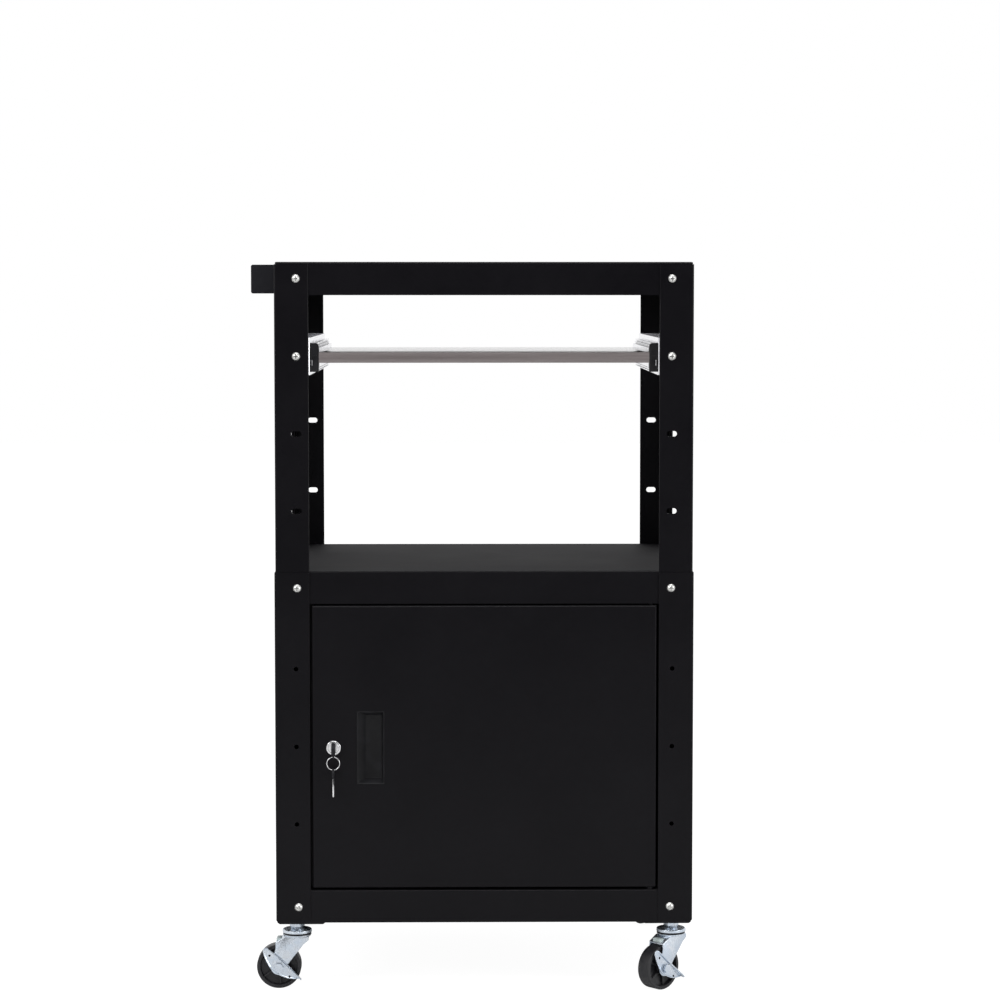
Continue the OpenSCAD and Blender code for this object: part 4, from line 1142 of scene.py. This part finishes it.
@dataclass
class LockAndKeys(Assembly):
    """The cam lock's face, the key in it and the spare key on the ring."""

    face_depth: float = 3.0 * MM
    face_bevel: float = 1.3 * MM
    border: float = 2.6 * MM
    body_radius: float = 9.0 * MM
    plug_bore: float = 6.05 * MM
    bow_half: float = 2.7 * MM
    spare_half: float = 1.6 * MM
    tongue_half: float = 1.3 * MM
    ring_hole: float = 1.5 * MM

    def barrel(self) -> Blank:
        """Shapes the lock's barrel with a rounded face and a sunk ring round the plug."""
        low, high = limits("lock_barrel")
        middle = (low + high) / 2
        radius = (high.x - low.x) / 2
        start = (middle.x, low.y + self.face_depth / 2, middle.z)
        body = Blank.rod("lock_face", start, radius, self.face_depth, Axis.Y, 96)
        body.faces(facing(0, 1, 0)).inset(radius - self.body_radius)
        body.push((0.0, high.y - low.y - self.face_depth, 0.0))
        body.faces(facing(0, -1, 0)).inset(self.border).inset(0.5 * MM, -0.7 * MM)

        def outer(point: Vector) -> bool:
            """Takes points on the face's outer circle."""
            reach = math.hypot(point.x - middle.x, point.z - middle.z)
            return abs(point.y - low.y) < 0.05 * MM and abs(reach - radius) < 0.05 * MM

        body.edges(lambda a, b: outer(a) and outer(b)).round_edges(self.face_bevel, 5)
        body.outward()
        return body.drill(Blank.rod("plug_bore", middle, self.plug_bore, 60 * MM, Axis.Y, 64))

    def bow(self, name: str, node: str, half: float, hole: Vector) -> Blank:
        """Shapes a moulded bow about a key's blade.

        Args:
            name: The piece's name.
            node: The node that gives its size.
            half: Half its thickness.
            hole: The middle of the ring's hole.

        Returns:
            The bow.
        """
        low, high = limits(node)
        radius = (high.y - low.y) / 2
        round_z = high.z - radius if low.z < high.z - 2 * radius - MM else (low.z + high.z) / 2
        middle = Vector(((low.x + high.x) / 2, (low.y + high.y) / 2, round_z))
        bow = Blank.rod(name, middle, radius, 2 * half, Axis.X, 64)
        bow.faces(lambda centre, normal: abs(normal.x) > 0.9).inset(1.6 * MM).inset(0.6 * MM, -0.35 * MM)

        def outer(point: Vector) -> bool:
            """Takes points on the outer circles of the bow's two faces."""
            reach = math.hypot(point.y - middle.y, point.z - middle.z)
            return abs(abs(point.x - middle.x) - half) < 0.02 * MM and abs(reach - radius) < 0.1 * MM

        bow.edges(lambda a, b: outer(a) and outer(b)).round_edges(min(1.2 * MM, half * 0.6), 4)
        bow.outward()
        if low.z < round_z - radius - MM:
            outline = [
                (middle.x - self.tongue_half, middle.y + y * MM, z)
                for y, z in ((-4.2, middle.z - 5 * MM), (4.2, middle.z - 5 * MM), (2.8, hole.z - 0.4 * MM),
                             (2.0, low.z + 0.6 * MM), (0.0, low.z + 0.02 * MM), (-2.0, low.z + 0.6 * MM),
                             (-2.8, hole.z - 0.4 * MM))
            ]
            tongue = Blank.plate(name + "_tongue", outline, (2 * self.tongue_half, 0.0, 0.0))
            bow.join([tongue.soften(0.4 * MM, 2, 30.0)])
        return bow.drill(Blank.rod("ring_hole", hole, self.ring_hole, 30 * MM, Axis.X, 32))

    def blade(self) -> Blank:
        """Shapes the spare key's blade with its cuts on the side that faces the door."""
        low, high = limits("spare_key_blade")
        back, front, length = low.y, high.y, high.z - low.z
        cuts = (0.0, 0.42, 0.24, 0.5, 0.18, 0.38, 0.1, 0.0)
        points = [(back + 1.4 * MM, low.z), (back, low.z + 1.6 * MM), (back, high.z), (front, high.z)]
        points.append((front, low.z + length * 0.74))
        for step, cut in enumerate(cuts):
            drop = low.z + length * (0.70 - 0.08 * step)
            points.append((front + cut * (back - front) * 0.75, drop))
        points += [(front - 2.6 * MM, low.z + 1.8 * MM), ((front + back) / 2 - MM, low.z)]
        outline = [(low.x, y, z) for y, z in points]
        blade = Blank.plate("spare_blade_cut", outline, (high.x - low.x, 0.0, 0.0))
        return blade.soften(0.18 * MM, 2, 40.0)

    def build(self, palette: Palette) -> list[Blank]:
        """Builds the lock's face, the two bows and the spare blade.

        Args:
            palette: The cart's materials.

        Returns:
            The pieces.
        """
        ring_low, ring_high = limits("key_ring")
        centre = (ring_low + ring_high) / 2
        upper = Vector((centre.x, centre.y, ring_high.z))
        lower = Vector((centre.x, centre.y, ring_low.z))
        pieces = [self.barrel().dress(palette.nickel, Slot.NICKEL, "door", ["lock_barrel"])]
        for name, node, body, half, hole in (
            ("moulded_key_bow", "key_bow", "key", self.bow_half, upper),
            ("moulded_spare_bow", "spare_key_bow", "spare_key", self.spare_half, lower),
        ):
            bow = self.bow(name, node, half, hole)
            pieces.append(bow.dress(palette.key_black, Slot.MOULDED, body, [node]))
        pieces.append(self.blade().dress(palette.nickel, Slot.NICKEL, "spare_key", ["spare_key_blade"]))
        return pieces


@dataclass
class Tray(Assembly):
    """The pull-out tray's laminated board and the moulded ends of its slides."""

    edge: float = 0.5 * MM
    cap_gap: float = 0.3 * MM
    cap_round: float = 5.0 * MM
    tab_inset: float = 2.6 * MM
    tab_half: float = 0.6 * MM
    tab_reach: float = 1.2 * MM

    def board(self) -> Blank:
        """Shapes the board with softened edges."""
        low, high = limits("tray_board")
        board = Blank.block("laminated_board", low, high)
        board.edges(lambda a, b: True).round_edges(self.edge, 3)
        return board.outward()

    def cap(self, name: str, low: Vector, high: Vector, inner: int) -> Blank:
        """Shapes a slide's moulded front cap.

        Args:
            name: The piece's name.
            low: Its lowest corner.
            high: Its highest corner.
            inner: The side the board lies on, -1 or 1.

        Returns:
            The cap.
        """
        cap = Blank.block(name, low, high)
        edge_x = high.x if inner > 0 else low.x
        cap.edges(
            lambda a, b: all(abs(p.x - edge_x) < 0.05 * MM and p.z > high.z - 0.05 * MM for p in (a, b))
        ).round_edges(self.cap_round, 6)
        cap.faces(facing(0, -1, 0)).inset(1.5 * MM).inset(0.5 * MM, -0.8 * MM)
        cap.outward().soften(0.35 * MM, 2, 40.0)
        middle = (low + high) / 2
        rib = Blank.block(
            name + "_rib", (middle.x - 3.2 * MM, low.y + 0.2 * MM, middle.z + 2 * MM),
            (middle.x + 3.2 * MM, low.y + 1.4 * MM, middle.z + 3.2 * MM)
        )
        rib.soften(0.3 * MM)
        return cap.join([rib])

    def build(self, palette: Palette) -> list[Blank]:
        """Builds the board, the two caps and their release tabs.

        Args:
            palette: The cart's materials.

        Returns:
            The pieces.
        """
        pieces = [self.board().dress(palette.laminate, Slot.LAMINATE, "tray", ["tray_board"])]
        low, high = limits("slide_front_caps")
        board_low, board_high = limits("tray_board")
        left_end = Vector((board_low.x - self.cap_gap, high.y, high.z))
        right_start = Vector((board_high.x + self.cap_gap, low.y, low.z))
        for cap in (
            self.cap("slide_cap_left", low, left_end, 1), self.cap("slide_cap_right", right_start, high, -1)
        ):
            pieces.append(cap.dress(palette.moulded, Slot.MOULDED, "tray", ["slide_front_caps"]))
        # The release tabs are matte light grey: a painted glint on each lever.
        for name, x in (
            ("release_tab_left", low.x + self.tab_inset), ("release_tab_right", high.x - self.tab_inset)
        ):
            start = (x - self.tab_half, low.y - self.tab_reach, low.z + 9 * MM)
            end = (x + self.tab_half, low.y + self.tab_reach, low.z + 17 * MM)
            tab = Blank.block(name, start, end).soften(0.3 * MM)
            pieces.append(tab.dress(palette.tab_grey, Slot.MOULDED, "tray"))
        return pieces


@dataclass
class Studio(Assembly):
    """The pale floor, the white surround, the lamps and the camera."""

    camera_place: Point = (-0.0134, -4.35083, 1.0221)
    camera_pitch: float = 85.842
    camera_yaw: float = -0.748
    lens: float = 102.4956
    sensor: float = 36.0
    floor_size: float = 30.0
    floor_colour: Colour = (0.86, 0.86, 0.86)
    card_place: Point = (0.0, -6.2, 1.5)
    card_size: tuple[float, float] = (5.0, 3.0)
    card_colour: Colour = (0.02, 0.02, 0.022)
    floor_share: float = 0.8
    floor_glow: float = 1.2
    ambient: float = 0.55

    def camera(self) -> None:
        """Makes the camera that the photograph was taken with."""
        data = bpy.data.cameras.new("camera")
        data.lens = self.lens
        data.sensor_width = self.sensor
        data.clip_end = 100.0
        camera = bpy.data.objects.new("camera", data)
        bpy.context.scene.collection.objects.link(camera)
        camera.location = self.camera_place
        camera.rotation_euler = (math.radians(self.camera_pitch), 0.0, math.radians(self.camera_yaw))
        bpy.context.scene.camera = camera

    def floor(self) -> None:
        """Makes the pale floor, which stays white to the camera and keeps a soft shadow."""
        Blank.release()
        bpy.ops.mesh.primitive_plane_add(size=self.floor_size)
        plane = bpy.context.object
        plane.name = "floor"
        white = self.paper("floor_white", self.floor_colour, self.floor_share, self.floor_glow)
        plane.data.materials.append(white)

    def paper(self, name: str, colour: Colour, share: float, glow: float) -> bpy.types.Material:
        """Makes a matt material that is white to the camera alone.

        Args:
            name: The material's name.
            colour: Its colour in the light and in reflections.
            share: How much of what the camera sees is the white.
            glow: Strength of the white.

        Returns:
            The material.
        """
        graph = Shading(name)
        graph.constants(Roughness=0.9, Specular_IOR_Level=0.1)
        graph.shader.inputs["Base Color"].default_value = (*colour, 1.0)
        white = graph.node("ShaderNodeEmission", {}, {"Color": WHITE, "Strength": glow})
        path = graph.node("ShaderNodeLightPath", {}, {})
        seen = graph.value(path, "Is Camera Ray") * share
        graph.link(graph.blend(seen, graph.shader, white), graph.output, 0)
        return graph.owner

    def surround(self) -> None:
        """Makes the world: white to the camera and in reflections, softer as a light."""
        graph = Graph(bpy.data.worlds.new("studio"))
        bpy.context.scene.world = graph.owner
        soft = graph.node("ShaderNodeBackground", {}, {"Color": WHITE, "Strength": self.ambient})
        white = graph.node("ShaderNodeBackground", {}, {"Color": WHITE, "Strength": 1.0})
        path = graph.node("ShaderNodeLightPath", {}, {})
        direct = graph.value(path, "Is Camera Ray").most(graph.value(path, "Is Glossy Ray"))
        graph.node("ShaderNodeOutputWorld", {}, {"Surface": graph.blend(direct, soft, white)})

    def card(self) -> None:
        """Stands a card behind the camera, dark in reflections alone, which gives the metal its contrast."""
        Blank.release()
        bpy.ops.mesh.primitive_plane_add(size=1.0, location=self.card_place, rotation=(math.pi / 2, 0.0, 0.0))
        card = bpy.context.object
        card.name = "dark_card"
        card.scale = (*self.card_size, 1.0)
        bpy.ops.object.transform_apply(location=True, rotation=True, scale=True)
        card.data.materials.append(self.paper("dark_card", self.card_colour, 1.0, 1.0))

    def lamp(self, name: str, place: Point, target: Point, size: tuple[float, float], power: float) -> None:
        """Adds a soft rectangular lamp.

        Args:
            name: The lamp's name.
            place: Where it stands.
            target: What it points at.
            size: Its width and height.
            power: Its power in watts.
        """
        data = bpy.data.lights.new(name, "AREA")
        data.shape = "RECTANGLE"
        data.size, data.size_y = size
        data.energy = power
        lamp = bpy.data.objects.new(name, data)
        bpy.context.scene.collection.objects.link(lamp)
        lamp.location = place
        lamp.rotation_euler = (Vector(target) - Vector(place)).to_track_quat("-Z", "Y").to_euler()

    def build(self, palette: Palette) -> list[Blank]:
        """Builds the studio.

        Args:
            palette: The cart's materials; not used.

        Returns:
            No pieces of the cart.
        """
        self.camera()
        self.floor()
        self.surround()
        self.card()
        self.lamp("key_left", (-3.2, -2.6, 2.6), (0.0, 0.0, 0.6), (1.6, 1.6), 50.0)
        self.lamp("fill_right", (3.4, -2.2, 1.2), (0.0, 0.0, 0.3), (1.6, 1.6), 40.0)
        self.lamp("top", (0.0, 0.3, 3.4), (0.0, 0.0, 0.5), (2.4, 2.0), 50.0)
        self.lamp("top_front", (0.0, -2.6, 3.2), (0.0, 0.0, 0.7), (2.2, 0.5), 40.0)
        bpy.context.scene.view_settings.view_transform = "Standard"
        return []


def main() -> None:
    """Loads the frame, builds every sub-assembly and reports each piece."""
    logging.basicConfig(level=logging.INFO, format="%(name)s %(message)s")
    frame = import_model()
    palette = Palette()
    assemblies: list[Assembly] = [Studio(), Frame(), Caster(frame["joints"]), PullCup(), LockAndKeys(), Tray()]
    for assembly in assemblies:
        pieces = assembly.build(palette)
        LOG.info("%s: %d pieces", type(assembly).__name__, len(pieces))
    Blank.release()


if __name__ == "__main__":
    main()
